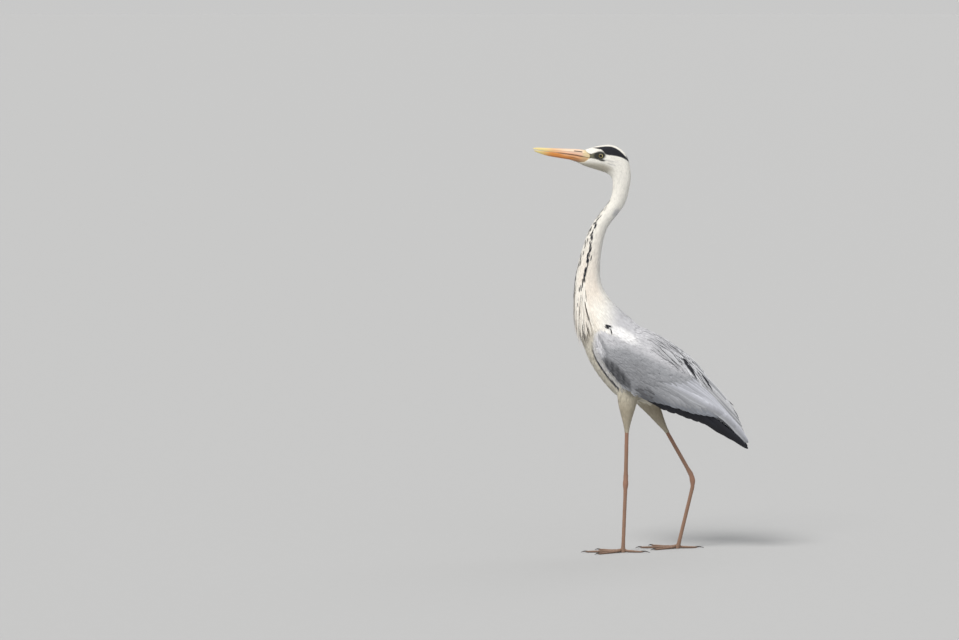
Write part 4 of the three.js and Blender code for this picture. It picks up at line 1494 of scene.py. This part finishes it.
def spokes(sign, angles):
    """Headings square to the eye's axis, at angles from forward."""
    _, ahead, up = eye_frame(sign)
    return ahead * np.cos(angles)[:, None] + up * np.sin(angles)[:, None]


def on_ball(sign, bend, angles, radius):
    """Places round the eye's centre, bent away from its axis towards the spokes at angles."""
    heading = eye_frame(sign)[0] * np.cos(bend)[..., None] + spokes(sign, angles) * np.sin(bend)[..., None]
    return EYE_PLACE * (sign, 1, 1) + heading * radius[..., None]


def make_eye(side):
    """An eyeball with a raised clear front, coloured by the distance from its axis, and its lids."""
    sign = SIDES[side]
    rings, sides = 40, 64
    bend = np.linspace(0.03, math.pi * 0.62, rings)[::-1]
    angles = np.linspace(0, 2 * math.pi, sides, endpoint=False)
    cornea = 0.55 * np.exp(-((bend / 0.62) ** 4))
    shape = on_ball(sign, bend[:, None], angles, (EYE_RADIUS + cornea - 0.1)[:, None])
    piece = new_object(f"eyeball_{side}", *loft(shape, sign < 0))
    flat = np.sin(np.minimum(bend, math.pi / 2)) * EYE_RADIUS
    radii = np.concatenate([np.repeat(flat, sides), [EYE_RADIUS, 0]])
    turns = np.concatenate([np.tile(angles, rings), [0, 0]])
    add_tint(piece.data, iris_colour(radii, turns))
    finished(piece, EYE_GLASS, "eye", f"eye_{side}")
    make_lids(side, sign)


def iris_colour(radii, turns):
    """The yellow iris with painted shade over its front and top, darker at its rims, round the black pupil."""
    gold, rim = np.array((0.72, 0.60, 0.24)), np.array((0.10, 0.07, 0.025))
    fleck = 0.5 + 0.5 * np.sin(turns * 23 + 3 * np.sin(turns * 7))
    return painted(
        gold * (0.86 + 0.2 * fleck)[:, None],
        # Painted shade from the brow: the iris dark over its front and top, leaving a pale crescent behind and
        # below.
        (rim * 1.6, ramp(np.cos(turns - 0.8), -0.3, 0.8) * 0.75),
        (rim, ramp(radii, IRIS - 0.9, IRIS) * 0.85),
        (rim * 1.5, ramp(radii, PUPIL + 0.9, PUPIL) * 0.6),
        (BLACK * 0.6, ramp(radii, IRIS - 0.1, IRIS + 0.35)),
        (BLACK * 0.4, ramp(radii, PUPIL + 0.14, PUPIL - 0.14)),
    )


def bump_at(angles, place):
    """1 at an angle and falling to 0 round it."""
    return np.exp(-(((angles - place) / 0.4) ** 2))


def make_lids(side, sign):
    """A soft ring of bare skin round the eye: the upper and the lower lid, drawn out at the corners."""
    sides, rows = 72, 14
    angles = np.linspace(0, 2 * math.pi, sides, endpoint=False)
    upper = np.maximum(np.sin(angles), 0)
    corner = 0.5 * bump_at(angles, 0) + 0.5 * bump_at(angles, 2 * math.pi)
    corner += 0.55 * bump_at(angles, math.pi)
    inner = OPENING - 0.8 * upper**1.5 + corner
    across = np.linspace(0, 1, rows)[:, None]
    radii = inner + across * (LID_RADIUS - inner)
    clipped = np.minimum(radii, EYE_RADIUS * 0.93)
    swell = (0.6 + 0.4 * upper) * np.sin(math.pi * np.clip(across * 1.5, 0, 1)) ** 0.8
    swell = swell + 0.16 * np.sin(across * 16)
    bend = np.arcsin(np.clip(clipped / EYE_RADIUS, 0, 1))
    base = on_ball(sign, bend, angles, EYE_RADIUS + (swell + 0.15))
    out = eye_frame(sign)[0]
    beyond = (radii - clipped)[..., None]
    top = base + spokes(sign, angles) * beyond - out * (0.9 * beyond)
    shape = np.concatenate([top, (top - out * LID_DEPTH)[::-1]])
    count = len(shape)
    row = np.arange(count)[:, None]
    row, next_row = row * sides, (row + 1) % count * sides
    here, ahead = np.arange(sides), (np.arange(sides) + 1) % sides
    faces = np.stack([row + here, row + ahead, next_row + ahead, next_row + here], -1).reshape(-1, 4)
    piece = new_object(f"lids_{side}", shape.reshape(-1, 3), [faces[:, ::-1] if sign > 0 else faces])
    outer = np.repeat(np.concatenate([across, across[::-1]]), sides)
    add_tint(piece.data, mix(LORE * 0.45, LORE * 1.3, outer * 0.8))
    finished(piece, BARE_SKIN, "leg_skin")


# ---------------------------------------------------------------- legs
# In the plane of each leg, as (y, z): the top of the bare shank, the ankle and the foot.
LEGS = {
    "left": {"x": 34, "top": (-33, 270), "ankle": (-35, 156), "foot": (-41, 9)},
    "right": {"x": -34, "top": (64, 266), "ankle": (124, 158), "foot": (86, 9)},
}
FOOT_X = 37
TOES = ("inner", "middle", "outer", "hind")
LEG_VOXEL = 0.75
LEG_GROWTH = 0.35  # closes the clearance between the parts of the leg
CLAW_VOXEL = 0.3
CLAW_GROWTH = 0.3
LEG_TOP_REACH = 7  # the stretch of the shank that is drawn up into the thigh's feathers
LEG_HIDDEN = 12  # how far it is drawn up
ANKLE_SPAN = 22  # how far from the ankle its swelling reaches
ANKLE_SWELL = 1.5
SCALE_HEIGHT = 0.34
LEG_INSET = 0.42  # how far the grooves between the scales lie under the mesh that LEG_GROWTH made
CLAW_HELD = 1.8  # how far the end of a toe reaches over the root of its claw
LEG_BROWN = np.array((0.235, 0.150, 0.098))
LEG_PINK = np.array((0.36, 0.185, 0.125))
LEG_DARK = np.array((0.105, 0.075, 0.055))
CLAW_BROWN = np.array((0.055, 0.042, 0.034))


def limb_place(places, start, end):
    """How far along a straight limb each place is, in millimetres, and its angle from the front."""
    axis = unit(end - start)
    along = (places - start) @ axis
    offset = places - start - along[:, None] * axis
    front = flatten(np.array((0.0, -1.0, 0.0)), axis)
    return along, np.arctan2(offset @ np.cross(axis, front), offset @ front)


def plates(along, period):
    """1 on a row of plates and 0 in the grooves between them."""
    gap = np.abs((along / period + 0.5) % 1 - 0.5) * period
    return 1 - np.exp(-((gap / 0.42) ** 2))


def pebbles(across, along, size):
    """1 on rounded scales in a staggered pattern and 0 in the grooves between them."""
    best = []
    for shift in (0.0, 0.5):
        u = (across / size + shift) % 1 - 0.5
        v = (along / (size * 1.7) + shift) % 1 - 0.5
        best.append(np.hypot(u * size, v * size * 1.7))
    near, far = np.minimum(*best), np.maximum(*best)
    return 1 - np.exp(-(((far - near) / (0.34 * size)) ** 2))


def knuckled(places, top, ankle, foot):
    """The leg with its ankle made one smooth swelling round a curved centre line."""
    t = np.linspace(0, 1, 61)[:, None]
    above, below = ankle + unit(top - ankle) * ANKLE_SPAN, ankle + unit(foot - ankle) * ANKLE_SPAN
    curve = above * (1 - t) ** 2 + ankle * 2 * t * (1 - t) + below * t**2
    near = np.linalg.norm(places - ankle, axis=1) < ANKLE_SPAN * 1.2
    index = np.linalg.norm(places[near, None] - curve, axis=2).argmin(1)
    offset = places[near] - curve[index]
    radius = np.linalg.norm(offset, axis=1)
    share = t[index, 0]
    ends = [np.median(radius[np.abs(share - end) < 0.07]) for end in (0.1, 0.9)]
    wanted = np.interp(share, (0.1, 0.9), ends) + ANKLE_SWELL * np.sin(np.pi * share) ** 4
    held = ramp(share, 0.03, 0.25) * ramp(share, 0.97, 0.75)
    places = places.copy()
    places[near] += offset * (held * (wanted / radius - 1))[:, None]
    return places


def over_claws(places, quads, labels, toes, foot):
    """Rounds the ends of the toes, tapers them and pushes them over the roots of their claws."""
    rounded = np.zeros(len(places))
    reach = np.linalg.norm(places[:, :2] - foot[:2], axis=1)
    for name in toes:
        mine = labels == name
        end = reach[mine].max()
        rounded[mine] = ramp(reach[mine], end - 4, end - 0.5) * 0.3
        claw, _ = node_shape(name.replace("toe", "claw"))
        claw_reach = np.linalg.norm(claw[:, :2] - foot[:2], axis=1)
        root = claw[claw_reach < claw_reach.min() + 1.5].mean(0)
        ahead = unit((root - foot) * (1, 1, 0))
        spine = foot + ((places[mine] - foot) @ ahead)[:, None] * ahead
        spine[:, 2] = root[2]
        tapered = ramp(reach[mine], end - 7, end)[:, None]
        places[mine] += (spine - places[mine]) * 0.2 * tapered + ahead * CLAW_HELD * tapered
    return mix(places, smoothed(places, quads, 14), rounded)


def leg_relief(places, labels, top, ankle, foot):
    """The height of the scales at each place: 1 on them and less in the grooves."""
    relief = np.ones(len(places))
    for part, start, end in (("shank", top, ankle), ("tarsus", ankle, foot)):
        mine = named(labels, part)
        along, angle = limb_place(places[mine], start, end)
        scales = 1 - 0.45 * (1 - pebbles(angle * 5.0 + 0.5 * np.sin(along * 0.9), along, 3.3))
        front = ramp(np.abs(angle), 1.35, 0.95) * (part == "tarsus") * ramp(along, 8, 20)
        relief[mine] = scales * (1 - front) + plates(along, 5.4) * front
    mine = named(labels, "toe")
    offset = places[mine] - foot
    along = np.hypot(offset[:, 0], offset[:, 1])
    top_side = ramp(places[mine, 2], 2.2, 3.6)
    along = along + 0.5 * np.sin(along * 0.83 + offset[:, 0] * 0.6)
    scales = pebbles(offset[:, 0], offset[:, 1], 2.0)
    relief[mine] = plates(along, 3.4) * top_side + scales * (1 - top_side)
    return relief


def make_leg(side):
    """One bare leg with its scales: the shank, the tarsus and the toes. Returns the middle of its foot."""
    leg = LEGS[side]
    top, ankle = (np.array((leg["x"], *leg[part]), float) for part in ("top", "ankle"))
    foot = np.array((SIDES[side] * FOOT_X, *leg["foot"]), float)
    toes = [f"toe_{side}_{toe}" for toe in TOES]
    nodes = [f"shank_{side}", f"tarsus_{side}"] + toes
    places, quads = remeshed(f"leg_{side}", nodes, LEG_VOXEL, LEG_GROWTH)
    places = smoothed(places, quads, 6)
    labels = Labels(nodes).at(places)
    places = knuckled(places, top, ankle, foot)
    places = over_claws(places, quads, labels, toes, foot)
    above = limb_place(places, top, ankle)[0] < LEG_TOP_REACH
    places[above & (labels == nodes[0])] += unit(top - ankle) * LEG_HIDDEN
    relief = leg_relief(places, labels, top, ankle, foot)
    piece = new_object(f"leg_{side}_skin", places, [quads])
    normals = mesh_normals(piece.data)
    moved = places + normals * (SCALE_HEIGHT * relief - LEG_INSET)[:, None]
    moved[:, 2] = np.maximum(moved[:, 2], 0.0)
    set_places(piece.data, moved)
    joint = np.exp(-((np.linalg.norm(places - ankle, axis=1) / 17) ** 2))
    add_tint(piece.data, painted(
        LEG_BROWN,
        (LEG_PINK, 0.35 + 0.5 * joint),
        (LEG_PINK * 0.9, ramp(places[:, 2], 215, 262) * 0.6),
        (LEG_DARK, 0.6 * (1 - relief) + 0.25 * ramp(places[:, 2], 30, 6)),
    ))
    finished(piece, LEG_SKIN, "leg_skin", *nodes)
    return foot


def make_claws(side, foot):
    """Horny claws: smooth, a little paler at the base."""
    nodes = [f"claw_{side}_{toe}" for toe in TOES]
    claws, faces = [], []
    for node in nodes:
        places, quads = remeshed(node, [node], CLAW_VOXEL, CLAW_GROWTH)
        faces.append(quads + sum(len(claw) for claw in claws))
        claws.append(smoothed(places, quads, 12))
    places = np.vstack(claws)
    places[:, 2] = np.maximum(places[:, 2], 0.02)
    piece = new_object(f"claws_{side}", places, [np.vstack(faces)])
    reach = np.linalg.norm(places[:, :2] - foot[:2], axis=1)
    shade = 0.6 + 0.4 * np.sin(reach * 0.9)
    add_tint(piece.data, CLAW_BROWN * shade[:, None])
    finished(piece, CLAW_HORN, "claw", *nodes)


# ---------------------------------------------------------------- materials
class Finish:
    """A material with small helpers to wire its nodes."""

    def __init__(self, name, **constants):
        self.material = bpy.data.materials.new(name)
        self.material.use_nodes = True
        self.tree = self.material.node_tree
        self.shader = self.tree.nodes["Principled BSDF"]
        for socket, value in constants.items():
            self.shader.inputs[socket.replace("_", " ")].default_value = value

    def node(self, kind, inputs=None, **settings):
        made = self.tree.nodes.new(kind)
        for key, value in settings.items():
            setattr(made, key, value)
        for key, value in (inputs or {}).items():
            if isinstance(value, bpy.types.NodeSocket):
                self.tree.links.new(value, made.inputs[key])
            else:
                made.inputs[key].default_value = value
        return made

    def math(self, operation, a, b=0.0):
        return self.node("ShaderNodeMath", {0: a, 1: b}, operation=operation).outputs[0]

    def times(self, a, b):
        return self.math("MULTIPLY", a, b)

    def place(self):
        return self.node("ShaderNodeTexCoord").outputs["Object"]

    def noise(self, scale, detail, stretch=(1, 1, 1)):
        """Noise from 0 to 1. scale is how fast it changes in a metre."""
        spread = self.node("ShaderNodeMapping", {"Vector": self.place(), "Scale": stretch}).outputs[0]
        inputs = {"Vector": spread, "Scale": scale, "Detail": detail}
        return self.node("ShaderNodeTexNoise", inputs).outputs["Fac"]

    def spread(self, value, low, high):
        """value from 0 to 1 spread from low to high."""
        return self.node("ShaderNodeMapRange", {"Value": value, "To Min": low, "To Max": high}).outputs[0]

    def wire(self, amount, roughness=None, bump=None, colour=None):
        """The colour times amount, and a bump of (height, strength, distance). The colour is the vertices'
        own, unless another is given."""
        if colour is None:
            colour = self.node("ShaderNodeAttribute", attribute_name="Tint").outputs["Color"]
        shaded = self.node("ShaderNodeVectorMath", {0: colour, "Scale": amount}, operation="SCALE")
        wires = {"Base Color": shaded.outputs[0], "Roughness": roughness}
        if bump:
            inputs = dict(zip(("Height", "Strength", "Distance"), bump))
            wires["Normal"] = self.node("ShaderNodeBump", inputs).outputs[0]
        for name, value in wires.items():
            if value is not None:
                self.tree.links.new(value, self.shader.inputs[name])
        return self.material


def plumage(name, barb, shaft, roughness):
    """Vanes with barbs that run out from the shaft. barb is their spacing and shaft its half width, in
    millimetres."""
    finish = Finish(name, Sheen_Weight=0.12, Sheen_Roughness=0.5, Specular_IOR_Level=0.28)
    vane = finish.node("ShaderNodeUVMap", uv_map="Vane").outputs[0]
    parts = finish.node("ShaderNodeSeparateXYZ", {0: vane})
    across = finish.math("ABSOLUTE", parts.outputs[0])
    lean = finish.math("SUBTRACT", parts.outputs[1], finish.times(across, 1.3))
    wobble = finish.times(finish.noise(900, 2.0), 1.2)
    barbs = finish.math("SINE", finish.times(finish.math("ADD", lean, wobble), 2 * math.pi / barb))
    stripes = finish.spread(finish.math("ADD", finish.times(barbs, 0.5), 0.5), 0.95, 1.03)
    amount = finish.times(stripes, finish.spread(finish.noise(140, 4.0), 0.86, 1.12))
    if shaft:
        ridge = finish.math("LESS_THAN", across, shaft)
        amount = finish.times(amount, finish.spread(ridge, 1.0, 0.78))
    rough = finish.spread(finish.noise(300, 2.0), roughness - 0.08, roughness + 0.08)
    return finish.wire(amount, rough, (barbs, 0.35, 0.00012))


def bare_skin(name, grain, roughness, **constants):
    """Skin with fine cells. grain is how many there are to a metre, roughly."""
    finish = Finish(name, **constants)
    fine = finish.noise(grain, 5.0)
    inputs = {"Vector": finish.place(), "Scale": grain * 0.8}
    cells = finish.node("ShaderNodeTexVoronoi", inputs, feature="DISTANCE_TO_EDGE").outputs["Distance"]
    height = finish.math("ADD", finish.math("MINIMUM", cells, 0.12), finish.times(fine, 0.2))
    amount = finish.times(finish.spread(fine, 0.8, 1.16), finish.spread(finish.noise(60, 3.0), 0.85, 1.12))
    rough = finish.spread(fine, roughness - 0.1, roughness + 0.12)
    return finish.wire(amount, rough, (height, 0.5, 0.0004))


def horn(name, roughness, **constants):
    """Bill and claws: fine streaks along the length, a satin surface with small scuffs."""
    finish = Finish(name, **constants)
    streaks = finish.noise(700, 4.0, stretch=(1, 0.05, 1))
    clouds = finish.noise(90, 4.0, stretch=(1, 0.3, 1))
    amount = finish.times(finish.spread(streaks, 0.82, 1.14), finish.spread(clouds, 0.85, 1.15))
    rough = finish.spread(finish.noise(420, 3.0), roughness - 0.1, roughness + 0.16)
    return finish.wire(amount, rough, (streaks, 0.22, 0.0003))


def eye_glass():
    """The wet surface of the eye."""
    finish = Finish("eye", Roughness=0.07, Coat_Weight=0.45, Coat_Roughness=0.02, IOR=1.34,
                    Specular_IOR_Level=0.35)
    return finish.wire(finish.spread(finish.noise(2600, 3.0), 0.8, 1.2))


PLUMAGE_FINE = plumage("plumage_fine", 0.5, 0.0, 0.72)
PLUMAGE_COVERT = plumage("plumage_covert", 0.8, 0.16, 0.62)
PLUMAGE_QUILL = plumage("plumage_quill", 1.1, 0.45, 0.5)
SKIN = bare_skin("feathered_skin", 1600, 0.75, Specular_IOR_Level=0.25)
BARE_SKIN = bare_skin("bare_skin", 1900, 0.5, Specular_IOR_Level=0.4)
LEG_SKIN = bare_skin("leg_skin", 900, 0.52, Specular_IOR_Level=0.42)
HORN = horn("horn", 0.36, Specular_IOR_Level=0.5, Coat_Weight=0.15, Coat_Roughness=0.3)
CLAW_HORN = horn("claw_horn", 0.42, Specular_IOR_Level=0.5)
EYE_GLASS = eye_glass()


# ---------------------------------------------------------------- assembly
# The pieces of the coat: material, slot, and the profile, columns and rim shade of the vanes.
COATS = {f"coat_{part}": (PLUMAGE_FINE, "plumage_white", "hair", 3, 1.0)
         for part in ("head", "neck_upper", "neck_middle")}
COATS |= {f"coat_{part}": (PLUMAGE_FINE, "plumage_white", "soft", 3, 1.0)
          for part in ("neck_lower", "body", "thighs")}
COATS |= {f"coat_wing_{side}": (PLUMAGE_COVERT, "plumage_grey", "covert", 5, 1.06) for side in SIDES}


def dress():
    """The skin, the coat and the long feathers."""
    finished(skin.piece, SKIN, "plumage_white", *FLESH)
    for name, coat in small_feathers().items():
        coat.make(*COATS[name][:2])
    for side in SIDES:
        piece = flight_feathers(side).make(PLUMAGE_QUILL, "plumage_black")
        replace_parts(piece, f"flight_quills_{side}")
    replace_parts(tail_feathers().make(PLUMAGE_QUILL, "plumage_grey"), "tail")
    scapular_plumes().make(PLUMAGE_QUILL, "plumage_grey")
    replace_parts(breast_plumes().make(PLUMAGE_FINE, "plumage_white"), "breast_plumes")
    neck_streaks().make(PLUMAGE_FINE, "plumage_black")
    shoulder_tufts().make(PLUMAGE_FINE, "plumage_black")
    chin_feathers().make(PLUMAGE_FINE, "plumage_white")
    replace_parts(crest_plumes().make(PLUMAGE_QUILL, "plumage_black"), "crest_plume_left", "crest_plume_right")


dress()
make_bill()
for side in SIDES:
    make_eye(side)
    make_claws(side, make_leg(side))


# ---------------------------------------------------------------- studio
FLOOR_REACH = 60.0
FLOOR_GREY = (0.3985, 0.4036, 0.4095, 1)


def sun_light(name, heading, strength, spread, colour=(1, 1, 1)):
    data = bpy.data.lights.new(name, "SUN")
    data.energy = strength
    data.angle = math.radians(spread)
    data.color = colour
    placed(name, data).rotation_euler = Vector(heading).to_track_quat("-Z", "Y").to_euler()


def make_floor():
    corners = [(x, y, 0.0) for x in (-FLOOR_REACH, FLOOR_REACH) for y in (-FLOOR_REACH, FLOOR_REACH)]
    mesh = bpy.data.meshes.new("floor")
    mesh.from_pydata(corners, [], [(0, 2, 3, 1)])
    floor = placed("floor", mesh)
    finish = Finish("floor", Specular_IOR_Level=0.2)
    grain = finish.spread(finish.noise(30, 4.0), 0.985, 1.015)
    colour = finish.node("ShaderNodeRGB").outputs[0]
    colour.default_value = FLOOR_GREY
    floor.data.materials.append(finish.wire(grain, finish.spread(grain, 0.7, 0.8), colour=colour))


def make_studio():
    make_floor()
    sun_light("key", (-0.55, 0.42, -0.95), 2.75, 24, (1.0, 0.97, 0.93))
    sun_light("fill", (-0.8, -0.5, -0.25), 0.35, 60, (0.93, 0.96, 1.0))
    sun_light("rim", (0.6, -0.4, -0.6), 0.55, 40)
    world = bpy.data.worlds.new("studio")
    world.use_nodes = True
    sky = world.node_tree.nodes["Background"].inputs
    sky["Color"].default_value = (0.83, 0.83, 0.825, 1)
    sky["Strength"].default_value = 0.70
    bpy.context.scene.world = world
    bpy.context.scene.view_settings.view_transform = "Standard"


CAMERA_DISTANCE = 12.0
CAMERA_HEIGHT_ANGLE = math.radians(4.5)
AIM = Vector((0.0, -0.369, 0.5286))  # the middle of the picture: the bird stands right of it
LENS = 197.6


def make_camera():
    """The bird's left side, level with its back, with the bird small in the right half of the frame."""
    data = bpy.data.cameras.new("camera")
    data.lens = LENS
    data.sensor_width = 36
    data.clip_end = 200
    camera = placed("camera", data)
    away = Vector((math.cos(CAMERA_HEIGHT_ANGLE), 0, math.sin(CAMERA_HEIGHT_ANGLE)))
    camera.location = AIM + away * CAMERA_DISTANCE
    camera.rotation_euler = (-away).to_track_quat("-Z", "Y").to_euler()
    bpy.context.scene.camera = camera


make_studio()
make_camera()
